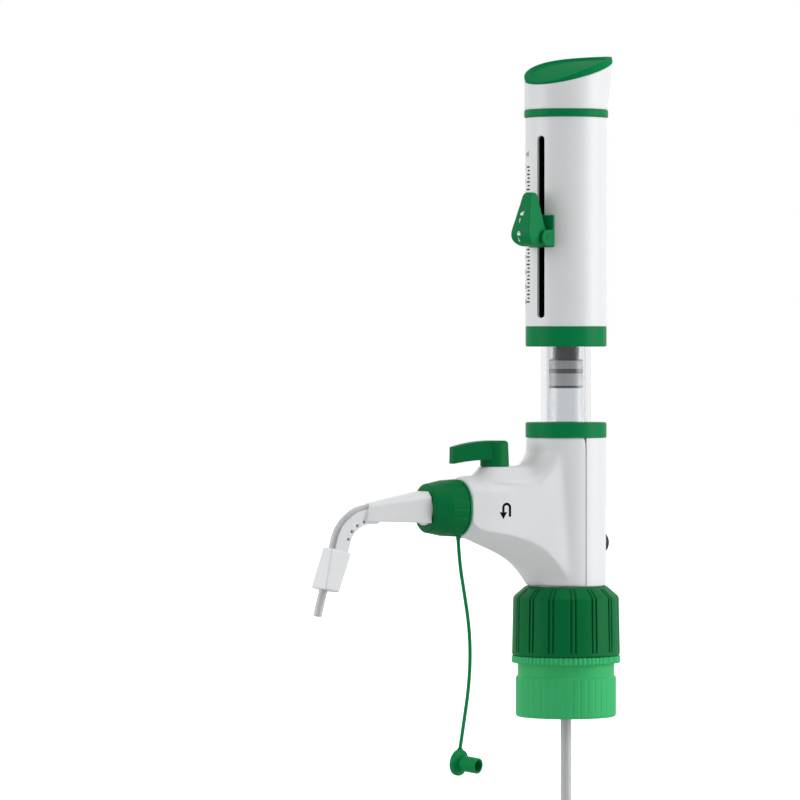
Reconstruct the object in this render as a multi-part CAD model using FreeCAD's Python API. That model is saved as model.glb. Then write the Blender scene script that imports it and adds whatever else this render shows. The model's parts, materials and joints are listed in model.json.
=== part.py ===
import FreeCAD, Part
import math
import os

# A bottle top dispenser: a hand lifted piston in a glass cylinder on a valve block that screws onto a bottle.
# Millimetres. Z is up, the origin is on the bottle axis at the adapter's lower mouth, the spout points to -X.

V = FreeCAD.Vector
UP = V(0, 0, 1)

# Fits
SEAT = 0.1          # flat faces of two bodies that bear on each other
RUN = 0.05          # radial running fit
LOOSE = 0.3         # curved faces of two bodies that only pass each other
PUSH = 0.02         # radial gap of a piece pushed into its seat
WALL = 2.2          # moulded housing wall

# Bottle adapter
THREAD_R = 22.6
NECK_SEAT_Z = 23.0
GASKET_T = 2.0
GASKET_R = 22.3
ADAPTER_R = 26.0
ADAPTER_RIB = 0.4
ADAPTER_RIBS = 40
ADAPTER_BODY_Z = 21.6
ADAPTER_NECK_R = 25.4
RING_Z = 28.3
RING_H = 3.8
RING_R = 28.5
RING_TOOTH = 0.9
RING_TEETH = 72
SPIGOT_R = 23.6
SPIGOT_H = 20.6
PASSAGE_R = 16.0

# Collar nut
COLLAR_R = 28.4
COLLAR_TOP_R = 27.8
COLLAR_H = 36.4
COLLAR_SHOULDER_H = 5.5
COLLAR_PANELS = 15
COLLAR_GROOVE_W = 0.9
COLLAR_GROOVE_DEEP = 1.0
COLLAR_PAIR = 2.4
COLLAR_FIRST = -4.0
COLLAR_NECK_R = 21.1

# Housing
HOUSING_R = 21.0
HOUSING_FOOT_Z = 68.9
HOUSING_TOP_Z = 146.6
HOUSING_LIP_H = 3.6
RING_PROUD = 0.3
HOUSING_RING_H = 8.0
RING_WEB = 3.0
SEAM_LIP = 1.0

# Arm
ARM_Z = 110.5
ARM_END_X = -64.0
BOSS_X = -43.0
BOSS_Z = 131.8
BOSS_R = 8.1
BOSS_WAIST_R = 11.4
BOSS_WAIST_H = 4.2
BOSS_FOOT_R = 15.6
BOSS_FOOT_H = 8.4
SWEEP_REACH = 6.0
SWEEP_RISE = 9.0
KEEL_WIDTH = 0.45
KEEL_SHARE = 0.30

# Valve block and nozzle
FLANGE_H = 5.2
FLANGE_R = 22.8
STEM_R = 12.0
STEM_H = 16.0
BLOCK_NECK_R = 19.0
BLOCK_GAP = 0.4
BLOCK_ARM_R = 11.5
NOZZLE_R = 12.2
NOZZLE_L = 15.0
CHANNEL_R = 2.0

# Cylinder, jacket and stroke
BORE_R = 9.05
GLASS_R = 10.2
JACKET_R = 13.0
JACKET_BORE_R = 11.5
CHAMBER_Z = 131.8
BLOCK_RIM_H = 8.0
JACKET_SEAT_H = 2.4
STOP_Z = 259.8
STOP_H = 4.0
STOP_R = 16.8
STOP_PLUG_H = 5.0

# Piston, drawn as the handle stands in the photograph
PISTON_Z = 172.5
PISTON_FACE_T = 1.3
PISTON_HEAD_H = 6.4
PISTON_SEAL_H = 2.5
PISTON_SKIRT_H = 4.7
PISTON_SLACK = 0.12
STALK_R = 7.0
STALK_H = 40.0
ROD_R = 4.0
ROD_SHOULDER_R = 7.0
ROD_SHOULDER_H = 2.3
ROD_NUT_R = 7.5
ROD_NUT_H = 5.0

# Handle
HANDLE_Z = 194.3
BASE_RING_H = 10.6
BASE_RING_R = 21.3
SLEEVE_R = 21.4
SLEEVE_WALL = 2.4
SLEEVE_H = 109.5
TOP_RING_R = 22.1
TOP_RING_H = 4.1
SPIGOT_IN = 3.4
HANDLE_TURN = 22.0
SLOT_W = 4.3
SLOT_RISE = 4.4
SLOT_HEAD = 10.0
CAP_FOOT_R = 21.9
CAP_LOW_H = 12.6
CAP_HIGH_H = 28.3
CAP_FRONT = 22.6
CAP_BACK = 27.2
CAP_HALF_W = 22.3
PAD_END_T = 0.9
PAD_RISE = 2.9
PAD_DISH = 1.5
PAD_LIP = 1.6
PAD_LIP_FOOT = 4.6

# Volume adjuster
ADJUSTER_Z = 254.5
PLATE_HALF_H = 8.4
PLATE_HALF_W = 8.2
PLATE_T = 1.3
EAR_T = 1.6
EAR_R = 4.2
PIN_OUT = 4.6
PIN_RISE = -3.5
PIN_R = 1.1
STEM_HALF_W = 1.85
BLOCK_HALF_W = 6.0
BLOCK_IN_R = 13.6
LEVER_TOP_HALF_W = 2.9
LEVER_LOW_HALF_W = 6.2

# Valve lever
HUB_R = 7.6
HUB_H = 13.5
LEVER_REACH = 25.7
LEVER_TIP_W = 5.2
LEVER_TIP_LOW = 1.6
LEVER_TIP_HIGH = 10.4
LEVER_UNDER = 3.3
SPINDLE_R = 5.0
SPINDLE_FOOT = 7.0

# Nozzle nut, running from the tether ring toward the spout
NUT_GAP = 0.3
NUT_R = 15.0
NUT_FRONT_R = 12.8
NUT_L = 18.2
NUT_CHAMFER = 0.8
NUT_FLUTES = 20
NUT_MOUTH_R = 9.1
NUT_THREAD_GAP = 0.35

# Spout
TUBE_R = 2.2
TUBE_BORE_R = 1.3
SPOUT_Z = 110.8
SPOUT_BEND_X = -117.0
SPOUT_BEND_R = 20.6
SPOUT_TILT = 14.4
SPOUT_TIP_Z = 56.0
HOLDER_FLANGE_R = 11.9
HOLDER_FLANGE_T = 2.6
HOLDER_NECK_R = 8.8
HOLDER_PLUG_R = 4.0
HOLDER_PLUG_L = 4.0
BEAM_HALF_W = 9.0
BEAM_TIP_HALF_W = 4.4
BEAM_LOW = 7.4
BEAM_HIGH = 9.1
BEAM_TIP_LOW = 6.0
BEAM_TIP_HIGH = 3.0
BEAM_TIP_SLANT = 0.35
RIB_DEPTH = 7.8
RIB_HALF_T = 3.2
RIB_HOLES = 4
RIB_HOLE_R = 0.8
RIB_HOLE_IN = 5.9
RIB_HOLE_START = 18.0
RIB_HOLE_STEP = 17.0
CLIP_L = 21.5
CLIP_DROP = 5.0

# Ball valves
BALL_R = 2.4
BALL_LIFT = 2.0
SEAT_BORE_R = 1.3
CAGE_R = 3.1
SPRING_WIRE_R = 0.35
SPRING_TURNS = 5

# Tubes in the bottle
SUCTION_HEAD_R = 6.0
SUCTION_HEAD_H = 5.0
SUCTION_THREAD_R = 4.5
SUCTION_THREAD_H = 8.0
NIPPLE_R = 1.9
NIPPLE_H = 9.0
FILL_R = 2.8
FILL_BORE_R = 1.95
FILL_END_Z = -78.0
LOWER_BORE_R = 2.9
LOWER_R = 3.8
LOWER_TOP_Z = -46.0
LOWER_END_Z = -150.0
RETURN_X = 9.0
RETURN_R = 2.0
RETURN_BORE_R = 1.2
RETURN_END_Z = 9.0

# Vent plug
VENT_Z = 91.0
VENT_R = 5.2
VENT_T = 3.0
VENT_STEM_R = 3.4

# Tether
TETHER_T = 1.1
TETHER_R = 14.6
TETHER_LUG_R = 1.6
TETHER_LUG_H = 2.6
CORD_R = 0.95
CLOSURE_AT = V(-64.2, 0.0, -22.0)
CLOSURE_AXIS = V(0.42, -0.88, -0.10)
CLOSURE_R = 6.9
CLOSURE_T = 3.0
CLOSURE_STUB_R = 4.1
CLOSURE_STUB_L = 11.0
CLOSURE_WALL = 1.1

# Heights and stations that follow from the sizes above
RING_TOP_Z = RING_Z + RING_H
SPIGOT_TOP_Z = RING_TOP_Z + SPIGOT_H
FLANGE_Z = SPIGOT_TOP_Z + SEAT
COLLAR_Z = RING_TOP_Z + SEAT
COLLAR_TOP_Z = COLLAR_Z + COLLAR_H
COLLAR_LEDGE_Z = FLANGE_Z + FLANGE_H + SEAT
STEM_END_Z = FLANGE_Z - STEM_H
BLOCK_R = HOUSING_R - WALL - BLOCK_GAP
NOZZLE_X = ARM_END_X - NOZZLE_L
HOUSING_RING_R = HOUSING_R + RING_PROUD
SLEEVE_Z = HANDLE_Z + BASE_RING_H
SLEEVE_IN_R = SLEEVE_R - SLEEVE_WALL
SLOT_H = SLEEVE_H - SLOT_RISE - SLOT_HEAD
TOP_RING_Z = SLEEVE_Z + SLEEVE_H
CAP_Z = TOP_RING_Z + TOP_RING_H
BLOCK_TOP_Z = STOP_Z - LOOSE
PLATE_IN_R = SLEEVE_R + LOOSE
PIN_X = -(SLEEVE_R + PIN_OUT)
PIN_Z = ADJUSTER_Z + PIN_RISE
TETHER_X = ARM_END_X - SEAT
NUT_X = TETHER_X - TETHER_T - NUT_GAP
NUT_FRONT_X = NUT_X - NUT_L
NUT_END_X = NUT_FRONT_X - NUT_CHAMFER
HOLDER_X = NOZZLE_X
HOLDER_NECK_X = HOLDER_X - HOLDER_FLANGE_T
SUCTION_SEAT_Z = STEM_END_Z + SUCTION_THREAD_H
BALL_RISE = math.sqrt(BALL_R ** 2 - SEAT_BORE_R ** 2) + 0.03
SUCTION_BALL_Z = SUCTION_SEAT_Z + BALL_RISE
DISCHARGE_SEAT_X = ARM_END_X + 3.0
DISCHARGE_BALL_X = DISCHARGE_SEAT_X - BALL_RISE
CORD_START = V(TETHER_X - TETHER_T / 2, 0.0, ARM_Z - TETHER_R - TETHER_LUG_H + 0.4)

# The cord's route between its two ends, read from the photograph
CORD_ROUTE = [
    V(-63.9, 0.0, 82.0), V(-60.8, 0.4, 66.0), V(-57.7, 0.9, 49.0), V(-56.8, 1.1, 33.0),
    V(-58.0, 0.8, 16.5), V(-60.9, 0.2, 0.5),
]


def turned(profile, at=V(0, 0, 0), axis=UP):
    """A solid of revolution from (radius, height) points, standing at a place along an axis."""
    points = [V(r, 0, z) for r, z in profile]
    wire = Part.makePolygon(points + [points[0]])
    solid = Part.Face(wire).revolve(V(0, 0, 0), UP, 360)
    solid.Placement = FreeCAD.Placement(at, FreeCAD.Rotation(UP, axis))
    return solid


def rod(radius, height, at, axis=UP):
    return Part.makeCylinder(radius, height, at, axis)


def ring(outer, inner, height, at, axis=UP):
    return rod(outer, height, at, axis).cut(rod(inner, height, at, axis))


def block(low, high):
    """A box between two opposite corners."""
    size = high - low
    return Part.makeBox(size.x, size.y, size.z, low)


def plate_of(points, half_width):
    """A side profile in (x, z) thickened both ways across Y."""
    corners = [V(x, -half_width, z) for x, z in points]
    face = Part.Face(Part.makePolygon(corners + [corners[0]]))
    return face.extrude(V(0, 2 * half_width, 0))


def toothed_disc(root, tip, count, height, z, land=0.45):
    """A disc with trapezoid teeth round its rim."""
    pitch = 2 * math.pi / count
    foot = 0.5 * (1 - land * 0.5)
    marks = [(root, -foot), (tip, -0.5 * land), (tip, 0.5 * land), (root, foot)]
    points = []
    for i in range(count):
        for radius, share in marks:
            angle = (i + share) * pitch
            points.append(V(radius * math.cos(angle), radius * math.sin(angle), z))
    return Part.Face(Part.makePolygon(points + [points[0]])).extrude(V(0, 0, height))


def around(shape, count, first=0.0):
    """Copies of a shape turned evenly about Z."""
    copies = []
    for i in range(count):
        copy = shape.copy()
        copy.rotate(V(0, 0, 0), UP, first + i * 360.0 / count)
        copies.append(copy)
    return copies


def swept(points, radius):
    """A round cord along straight runs joined by arcs as large as the runs allow."""
    edges = []
    start = points[0]
    for i in range(1, len(points) - 1):
        a, b, c = points[i - 1], points[i], points[i + 1]
        into, out = (b - a).normalize(), (c - b).normalize()
        turn = into.getAngle(out)
        shorter = min((b - a).Length, (c - b).Length)
        trim = 0.45 * shorter
        bend = trim / math.tan(turn / 2)
        first, last = b - into * trim, b + out * trim
        middle = b + (out - into).normalize() * (bend / math.cos(turn / 2) - bend)
        edges.append(Part.makeLine(start, first))
        edges.append(Part.Arc(first, middle, last).toShape())
        start = last
        print(f"cord bend {i}: radius {bend:.0f} mm, turn {math.degrees(turn):.1f} degrees")
    edges.append(Part.makeLine(start, points[-1]))
    wire = Part.Wire(edges)
    profile = Part.Wire(Part.makeCircle(radius, points[0], points[1] - points[0]))
    solid = wire.makePipeShell([profile], True, False)
    print(f"cord length {wire.Length:.1f} mm, volume over section times length "
          f"{solid.Volume / (math.pi * radius ** 2 * wire.Length):.4f}")
    return solid


# Bottle adapter

def bottle_adapter():
    body = toothed_disc(ADAPTER_R, ADAPTER_R + ADAPTER_RIB, ADAPTER_RIBS, ADAPTER_BODY_Z - 1.2, 0.6, land=0.7)
    body = body.fuse(turned([(0, 0), (ADAPTER_R - 0.4, 0), (ADAPTER_R + 0.1, 0.6), (ADAPTER_R + 0.1, ADAPTER_BODY_Z - 0.6),
                             (ADAPTER_NECK_R, ADAPTER_BODY_Z), (ADAPTER_NECK_R, RING_Z + 0.4), (0, RING_Z + 0.4)]))
    body = body.fuse(toothed_disc(RING_R - RING_TOOTH, RING_R, RING_TEETH, RING_H, RING_Z))
    body = body.fuse(rod(SPIGOT_R, SPIGOT_H, V(0, 0, RING_TOP_Z)))
    socket = rod(THREAD_R, NECK_SEAT_Z + GASKET_T, V(0, 0, 0))
    passage = rod(PASSAGE_R, SPIGOT_TOP_Z, V(0, 0, 0))
    mouth = turned([(0, -0.01), (THREAD_R + 0.8, -0.01), (THREAD_R, 0.8), (0, 0.8)])
    return body.cut(socket).cut(passage).cut(mouth)


def neck_gasket():
    return ring(GASKET_R, PASSAGE_R + 0.5, GASKET_T, V(0, 0, NECK_SEAT_Z))


# Collar nut

def collar_nut():
    """The clamping nut, with its shoulder and the paired grip grooves that run over it."""
    edge_z = COLLAR_TOP_Z - COLLAR_SHOULDER_H
    body = turned([(0, COLLAR_Z), (COLLAR_R - 0.5, COLLAR_Z), (COLLAR_R, COLLAR_Z + 0.8), (COLLAR_TOP_R, edge_z - 0.6),
                   (COLLAR_TOP_R - 0.7, edge_z + 0.5), (COLLAR_NECK_R + 0.8, COLLAR_TOP_Z - 0.5),
                   (COLLAR_NECK_R, COLLAR_TOP_Z), (0, COLLAR_TOP_Z)])
    groove = plate_of([(-COLLAR_R - 1, COLLAR_Z + 2.2), (-COLLAR_R + COLLAR_GROOVE_DEEP, COLLAR_Z + 2.2),
                       (-COLLAR_TOP_R + COLLAR_GROOVE_DEEP, edge_z), (-COLLAR_NECK_R - 1.2, COLLAR_TOP_Z - 1.6),
                       (-COLLAR_NECK_R - 1.2, COLLAR_TOP_Z + 1), (-COLLAR_R - 1, COLLAR_TOP_Z + 1)],
                      COLLAR_GROOVE_W / 2)
    half_pair = math.degrees(COLLAR_PAIR / 2 / COLLAR_R)
    cuts = around(groove, COLLAR_PANELS, COLLAR_FIRST + half_pair)
    cuts += around(groove, COLLAR_PANELS, COLLAR_FIRST - half_pair)
    thread = rod(SPIGOT_R + LOOSE, COLLAR_LEDGE_Z - COLLAR_Z, V(0, 0, COLLAR_Z))
    neck = rod(BLOCK_NECK_R + LOOSE, COLLAR_H, V(0, 0, COLLAR_Z))
    return body.cut(cuts).cut(thread).cut(neck)


# Valve block and what it carries

def valve_block():
    """The fluid block: bottle flange, riser, cylinder seat, side branch and threaded nozzle."""
    top = CHAMBER_Z + BLOCK_RIM_H
    body = turned([(0, STEM_END_Z), (STEM_R, STEM_END_Z), (STEM_R, FLANGE_Z), (FLANGE_R, FLANGE_Z),
                   (FLANGE_R, FLANGE_Z + FLANGE_H), (BLOCK_NECK_R, FLANGE_Z + FLANGE_H),
                   (BLOCK_NECK_R, HOUSING_FOOT_Z), (BLOCK_R, HOUSING_FOOT_Z), (BLOCK_R, top), (0, top)])
    body = body.fuse(rod(BLOCK_ARM_R, -ARM_END_X - WALL, V(0, 0, ARM_Z), V(-1, 0, 0)))
    body = body.fuse(rod(NOZZLE_R, -NOZZLE_X, V(0, 0, ARM_Z), V(-1, 0, 0)))
    glass_seat = rod(GLASS_R + PUSH, top, V(0, 0, CHAMBER_Z))
    jacket_seat = rod(JACKET_R + PUSH, top, V(0, 0, CHAMBER_Z + JACKET_SEAT_H))
    riser = rod(CHANNEL_R, top, V(0, 0, STEM_END_Z))
    suction_thread = rod(SUCTION_THREAD_R + PUSH, SUCTION_THREAD_H, V(0, 0, STEM_END_Z))
    suction_cage = rod(CAGE_R, BALL_RISE + BALL_R + BALL_LIFT + 0.5, V(0, 0, SUCTION_SEAT_Z))
    branch = rod(SEAT_BORE_R, -DISCHARGE_SEAT_X, V(0, 0, ARM_Z), V(-1, 0, 0))
    discharge_cage = rod(CAGE_R, NOZZLE_L + 3.0, V(DISCHARGE_SEAT_X, 0, ARM_Z), V(-1, 0, 0))
    plug_seat = rod(HOLDER_PLUG_R + PUSH, HOLDER_PLUG_L, V(NOZZLE_X, 0, ARM_Z), V(1, 0, 0))
    spindle_z = ARM_Z - SPINDLE_FOOT
    spindle = rod(SPINDLE_R + RUN, BOSS_Z - spindle_z, V(BOSS_X, 0, spindle_z))
    vent = rod(VENT_STEM_R + PUSH, BLOCK_R, V(BLOCK_R - 6, 0, VENT_Z), V(1, 0, 0))
    tube_seat = rod(RETURN_R + PUSH, 8.0, V(RETURN_X, 0, STEM_END_Z))
    return body.cut([glass_seat, jacket_seat, riser, suction_thread, suction_cage, branch, discharge_cage,
                     plug_seat, spindle, vent, tube_seat])


def suction_valve():
    """The screwed seat under the riser, with the nipple that carries the filling tube."""
    low = STEM_END_Z - SUCTION_HEAD_H
    return turned([(SEAT_BORE_R, low - NIPPLE_H), (NIPPLE_R, low - NIPPLE_H), (NIPPLE_R, low),
                   (SUCTION_HEAD_R - 0.6, low), (SUCTION_HEAD_R, low + 0.6), (SUCTION_HEAD_R, STEM_END_Z),
                   (SUCTION_THREAD_R, STEM_END_Z), (SUCTION_THREAD_R, SUCTION_SEAT_Z),
                   (SEAT_BORE_R, SUCTION_SEAT_Z)])


def glass_cylinder():
    top = STOP_Z - STOP_PLUG_H - SEAT
    return ring(GLASS_R, BORE_R, top - CHAMBER_Z, V(0, 0, CHAMBER_Z))


def jacket_tube():
    low = CHAMBER_Z + JACKET_SEAT_H
    return ring(JACKET_R, JACKET_BORE_R, STOP_Z - low, V(0, 0, low))


def stroke_stop():
    """The head of the jacket tube: a flange that the adjuster's block meets, and the rod's guide."""
    low = STOP_Z - STOP_PLUG_H
    return turned([(ROD_R + RUN, low), (JACKET_BORE_R - PUSH, low), (JACKET_BORE_R - PUSH, STOP_Z),
                   (STOP_R, STOP_Z), (STOP_R, STOP_Z + STOP_H - 0.6), (STOP_R - 0.6, STOP_Z + STOP_H),
                   (ROD_R + RUN, STOP_Z + STOP_H)])


def suction_ball():
    return Part.makeSphere(BALL_R, V(0, 0, SUCTION_BALL_Z))


def discharge_ball():
    return Part.makeSphere(BALL_R, V(DISCHARGE_BALL_X, 0, ARM_Z))


def discharge_spring():
    """The closing spring between the discharge ball and the holder's plug."""
    start = DISCHARGE_BALL_X - BALL_R + SPRING_WIRE_R
    length = start - (NOZZLE_X + HOLDER_PLUG_L) - 2 * SPRING_WIRE_R
    coil_r = BALL_R - SPRING_WIRE_R
    helix = Part.makeHelix(length / SPRING_TURNS, length, coil_r)
    wire = Part.Wire(Part.makeCircle(SPRING_WIRE_R, V(coil_r, 0, 0), V(0, 1, 0)))
    coil = Part.Wire(helix).makePipeShell([wire], True, True)
    coil.Placement = FreeCAD.Placement(V(start - SPRING_WIRE_R, 0, ARM_Z), FreeCAD.Rotation(UP, V(-1, 0, 0)))
    return coil


def filling_tube():
    low = STEM_END_Z - SUCTION_HEAD_H
    return ring(FILL_R, FILL_BORE_R, low - FILL_END_Z, V(0, 0, FILL_END_Z))


def filling_tube_lower():
    """The sliding end of the filling tube, cut on a slant so that it can't seal on the bottle's floor."""
    tube = ring(LOWER_R, LOWER_BORE_R, LOWER_TOP_Z - LOWER_END_Z, V(0, 0, LOWER_END_Z))
    low, high = LOWER_END_Z - 1, LOWER_END_Z + 2 * LOWER_R
    wedge = plate_of([(-LOWER_R - 1, low), (LOWER_R + 1, low), (LOWER_R + 1, high)], LOWER_R + 1)
    return tube.cut(wedge)


def return_tube():
    top = STEM_END_Z + 8.0
    return ring(RETURN_R, RETURN_BORE_R, top - RETURN_END_Z, V(RETURN_X, 0, RETURN_END_Z))


def vent_plug():
    """The black plug in the back of the housing, with a domed head."""
    face = HOUSING_R + VENT_T
    stem_x = BLOCK_R - 5.0
    seat_x = math.sqrt(HOUSING_R ** 2 - VENT_R ** 2)
    head = turned([(0, 0), (VENT_R, 0), (VENT_R, face - seat_x - 1.0), (VENT_R - 1.0, face - seat_x - 0.2),
                   (VENT_R - 2.6, face - seat_x), (0, face - seat_x)], V(seat_x, 0, VENT_Z), V(1, 0, 0))
    stem = rod(VENT_STEM_R, seat_x - stem_x, V(stem_x, 0, VENT_Z), V(1, 0, 0))
    return head.fuse(stem).cut(rod(HOUSING_R, 4 * VENT_R, V(0, 0, VENT_Z - 2 * VENT_R)).cut(
        rod(VENT_STEM_R, HOUSING_R * 2, V(0, 0, VENT_Z), V(1, 0, 0))))


# Housing shells

def arm_section(x, low_w, high_w, low, keel, high, crown):
    """One cross-section of the arm: a rounded V below, leaning flanks and a top arc."""
    corner = [V(x, low_w, low), V(x, -low_w, low), V(x, -high_w, high), V(x, high_w, high)]
    side, depth = KEEL_WIDTH * low_w, low + (1 - KEEL_SHARE) * (keel - low)
    left, right = V(x, side, depth), V(x, -side, depth)
    return Part.Wire([
        Part.makeLine(corner[0], left),
        Part.Arc(left, V(x, 0, keel), right).toShape(),
        Part.makeLine(right, corner[1]),
        Part.makeLine(corner[1], corner[2]),
        Part.Arc(corner[2], V(x, 0, crown), corner[3]).toShape(),
        Part.makeLine(corner[3], corner[0]),
    ])


def arm_body(inset):
    """The arm that grows out of the barrel: its heights are offsets from the arm's axis."""
    stations = [
        # along the arm, half width at the foot and top of the flank, flank foot, keel, flank top, crown
        (1.00, 14.4, 14.4, -7.0, -15.9, 6.8, 15.9),
        (0.86, 15.2, 15.2, -12.0, -18.2, 9.4, 16.6),
        (0.70, 15.9, 15.9, -13.6, -22.6, 9.0, 17.4),
        (0.53, 16.5, 16.4, -16.4, -28.6, 9.8, 18.4),
        (0.41, 17.1, 16.7, -19.8, -36.0, 12.6, 21.4),
        (0.30, 18.0, 16.9, -25.2, -46.5, 17.2, 30.0),
        (0.19, 19.0, 17.0, -33.5, -60.0, 26.5, 44.0),
        (0.06, 20.0, 17.0, -43.0, -76.0, 37.0, 60.0),
    ]
    sections = []
    for share, low_w, high_w, low, keel, high, crown in stations:
        sections.append(arm_section(ARM_END_X * share, low_w - inset, high_w - inset,
                                    ARM_Z + low + 0.3 * inset, ARM_Z + keel + inset,
                                    ARM_Z + high - 0.3 * inset, ARM_Z + crown - inset))
    return Part.makeLoft(sections, True, False)


def ridge_side():
    """Half width and height down the ridge's side, from its flat top to its foot."""
    return [(BOSS_R, BOSS_Z), (BOSS_WAIST_R, BOSS_Z - BOSS_WAIST_H), (BOSS_FOOT_R, BOSS_Z - BOSS_FOOT_H)]


def along_x(side, start_x, end_x):
    """A symmetric section of (half width, height) points carried along X."""
    points = [(y, z) for y, z in side] + [(-y, z) for y, z in reversed(side)]
    corners = [V(start_x, y, z) for y, z in points]
    return Part.Face(Part.makePolygon(corners + [corners[0]])).extrude(V(end_x - start_x, 0, 0))


def boss_ridge():
    """The raised seat of the valve lever, carried back to the barrel."""
    side = ridge_side()
    cone = turned([(0, side[-1][1])] + side[::-1] + [(0, BOSS_Z)], V(BOSS_X, 0, 0))
    return cone.fuse(along_x(side, BOSS_X, 0))


def barrel_sweep():
    """The concave sweep of the ridge up into the barrel."""
    foot = BOSS_Z - BOSS_FOOT_H
    reach = HOUSING_R + SWEEP_REACH
    points = [V(0, 0, foot), V(reach, 0, foot), V(reach, 0, BOSS_Z)]
    middle = V(HOUSING_R + 0.30 * SWEEP_REACH, 0, BOSS_Z + 0.30 * SWEEP_RISE)
    curve = Part.Arc(points[2], middle, V(HOUSING_R, 0, BOSS_Z + SWEEP_RISE))
    edges = [Part.makeLine(points[0], points[1]), Part.makeLine(points[1], points[2]), curve.toShape(),
             Part.makeLine(V(HOUSING_R, 0, BOSS_Z + SWEEP_RISE), V(0, 0, BOSS_Z + SWEEP_RISE)),
             Part.makeLine(V(0, 0, BOSS_Z + SWEEP_RISE), points[0])]
    whole = Part.Face(Part.Wire(edges)).revolve(V(0, 0, 0), UP, 360)
    side = [(BOSS_R - 3.0, BOSS_Z + SWEEP_RISE)] + ridge_side()
    return whole.common(along_x(side, -reach - 1, 0))


def housing_solid():
    """Barrel and arm as one closed form, hollowed for the block, the spindle and the vent."""
    foot, top = HOUSING_FOOT_Z, HOUSING_TOP_Z
    lip_r = HOUSING_R - WALL / 2
    outer = turned([(0, foot), (HOUSING_R - 0.3, foot), (HOUSING_R, foot + 0.3), (HOUSING_R, top), (lip_r, top),
                    (lip_r, top + HOUSING_LIP_H), (0, top + HOUSING_LIP_H)])
    room = block(V(2 * ARM_END_X, -2 * HOUSING_R, foot), V(2 * HOUSING_R, 2 * HOUSING_R, top))
    arm = arm_body(0).common(room)
    outer = outer.fuse([arm, boss_ridge(), barrel_sweep()])
    cavity = rod(HOUSING_R - WALL, top + HOUSING_LIP_H - foot, V(0, 0, foot))
    inner_room = block(V(ARM_END_X + WALL, -2 * HOUSING_R, foot + WALL), V(0, 2 * HOUSING_R, BOSS_Z - WALL))
    hollow = arm_body(WALL).common(inner_room)
    nozzle = rod(NOZZLE_R + PUSH, -2 * ARM_END_X, V(0, 0, ARM_Z), V(-1, 0, 0))
    spindle = rod(SPINDLE_R + LOOSE, 2 * WALL + 9, V(BOSS_X, 0, BOSS_Z - 2 * WALL - 8))
    vent = rod(VENT_STEM_R + PUSH, 2 * HOUSING_R, V(0, 0, VENT_Z), V(1, 0, 0))
    return outer.cut([cavity, hollow, nozzle, spindle, vent])


def housing_halves():
    """The housing parted on the plane X = 0, with a lip on the front half that the rear half laps."""
    solid = housing_solid()
    size = 400.0
    front_room = block(V(-size, -size, 0), V(0, size, size))
    rear_room = block(V(0, -size, 0), V(size, size, size))
    tongue_low, tongue_high = HOUSING_FOOT_Z + 3, HOUSING_TOP_Z - 3
    middle_r = HOUSING_R - WALL / 2
    tongue = ring(middle_r + 0.4, middle_r - 0.4, tongue_high - tongue_low, V(0, 0, tongue_low))
    tongue = tongue.common(block(V(-0.01, -size, 0), V(SEAM_LIP, size, size)))
    groove = ring(middle_r + 0.45, middle_r - 0.45, tongue_high - tongue_low + 0.2, V(0, 0, tongue_low - 0.1))
    groove = groove.common(block(V(-0.01, -size, 0), V(SEAM_LIP + 0.1, size, size)))
    front = solid.common(front_room).fuse(tongue)
    rear = solid.common(rear_room).cut(groove)
    return front.removeSplitter(), rear


def housing_ring():
    """The green ring that closes the top of the housing round the jacket tube."""
    lip_r = HOUSING_R - WALL / 2 + PUSH
    low, top = HOUSING_TOP_Z, HOUSING_TOP_Z + HOUSING_RING_H
    return turned([(lip_r, low), (HOUSING_RING_R, low), (HOUSING_RING_R, top - 0.5), (HOUSING_RING_R - 0.5, top),
                   (JACKET_R + PUSH, top), (JACKET_R + PUSH, top - RING_WEB), (lip_r, top - RING_WEB)])


# Spout

def spout_frame():
    """Bend centre, direction of the straight end and the inward normal across it."""
    tilt = math.radians(SPOUT_TILT)
    centre = V(SPOUT_BEND_X, 0, SPOUT_Z - SPOUT_BEND_R)
    along = V(-math.sin(tilt), 0, -math.cos(tilt))
    inward = V(math.cos(tilt), 0, -math.sin(tilt))
    bend_end = centre - inward * SPOUT_BEND_R
    return centre, along, inward, bend_end


def spout_tube_solid(radius, start_x):
    """A straight run, the bend and the sloping end, at one radius."""
    centre, along, inward, bend_end = spout_frame()
    straight = rod(radius, start_x - SPOUT_BEND_X, V(SPOUT_BEND_X, 0, SPOUT_Z), V(1, 0, 0))
    disc = Part.Face(Part.Wire(Part.makeCircle(radius, V(SPOUT_BEND_X, 0, SPOUT_Z), V(1, 0, 0))))
    bend = disc.revolve(centre, V(0, -1, 0), 90 - SPOUT_TILT)
    length = (bend_end.z - SPOUT_TIP_Z) / math.cos(math.radians(SPOUT_TILT))
    end = rod(radius, length, bend_end, along)
    return straight.fuse([bend, end])


def discharge_tube():
    start = HOLDER_X + HOLDER_PLUG_L
    outer = spout_tube_solid(TUBE_R, start)
    return outer.cut(spout_tube_solid(TUBE_BORE_R, start))


def beam_section(x, half_w, low, high, corner, slant):
    """One end of the beam: a flat foot, upright sides and a top with its corners cut."""
    points = [(-half_w, -low), (half_w, -low), (half_w, high - corner), (half_w - corner, high),
              (corner - half_w, high), (-half_w, high - corner)]
    return [V(x + (z + low) * slant, y, ARM_Z + z) for y, z in points]


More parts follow.
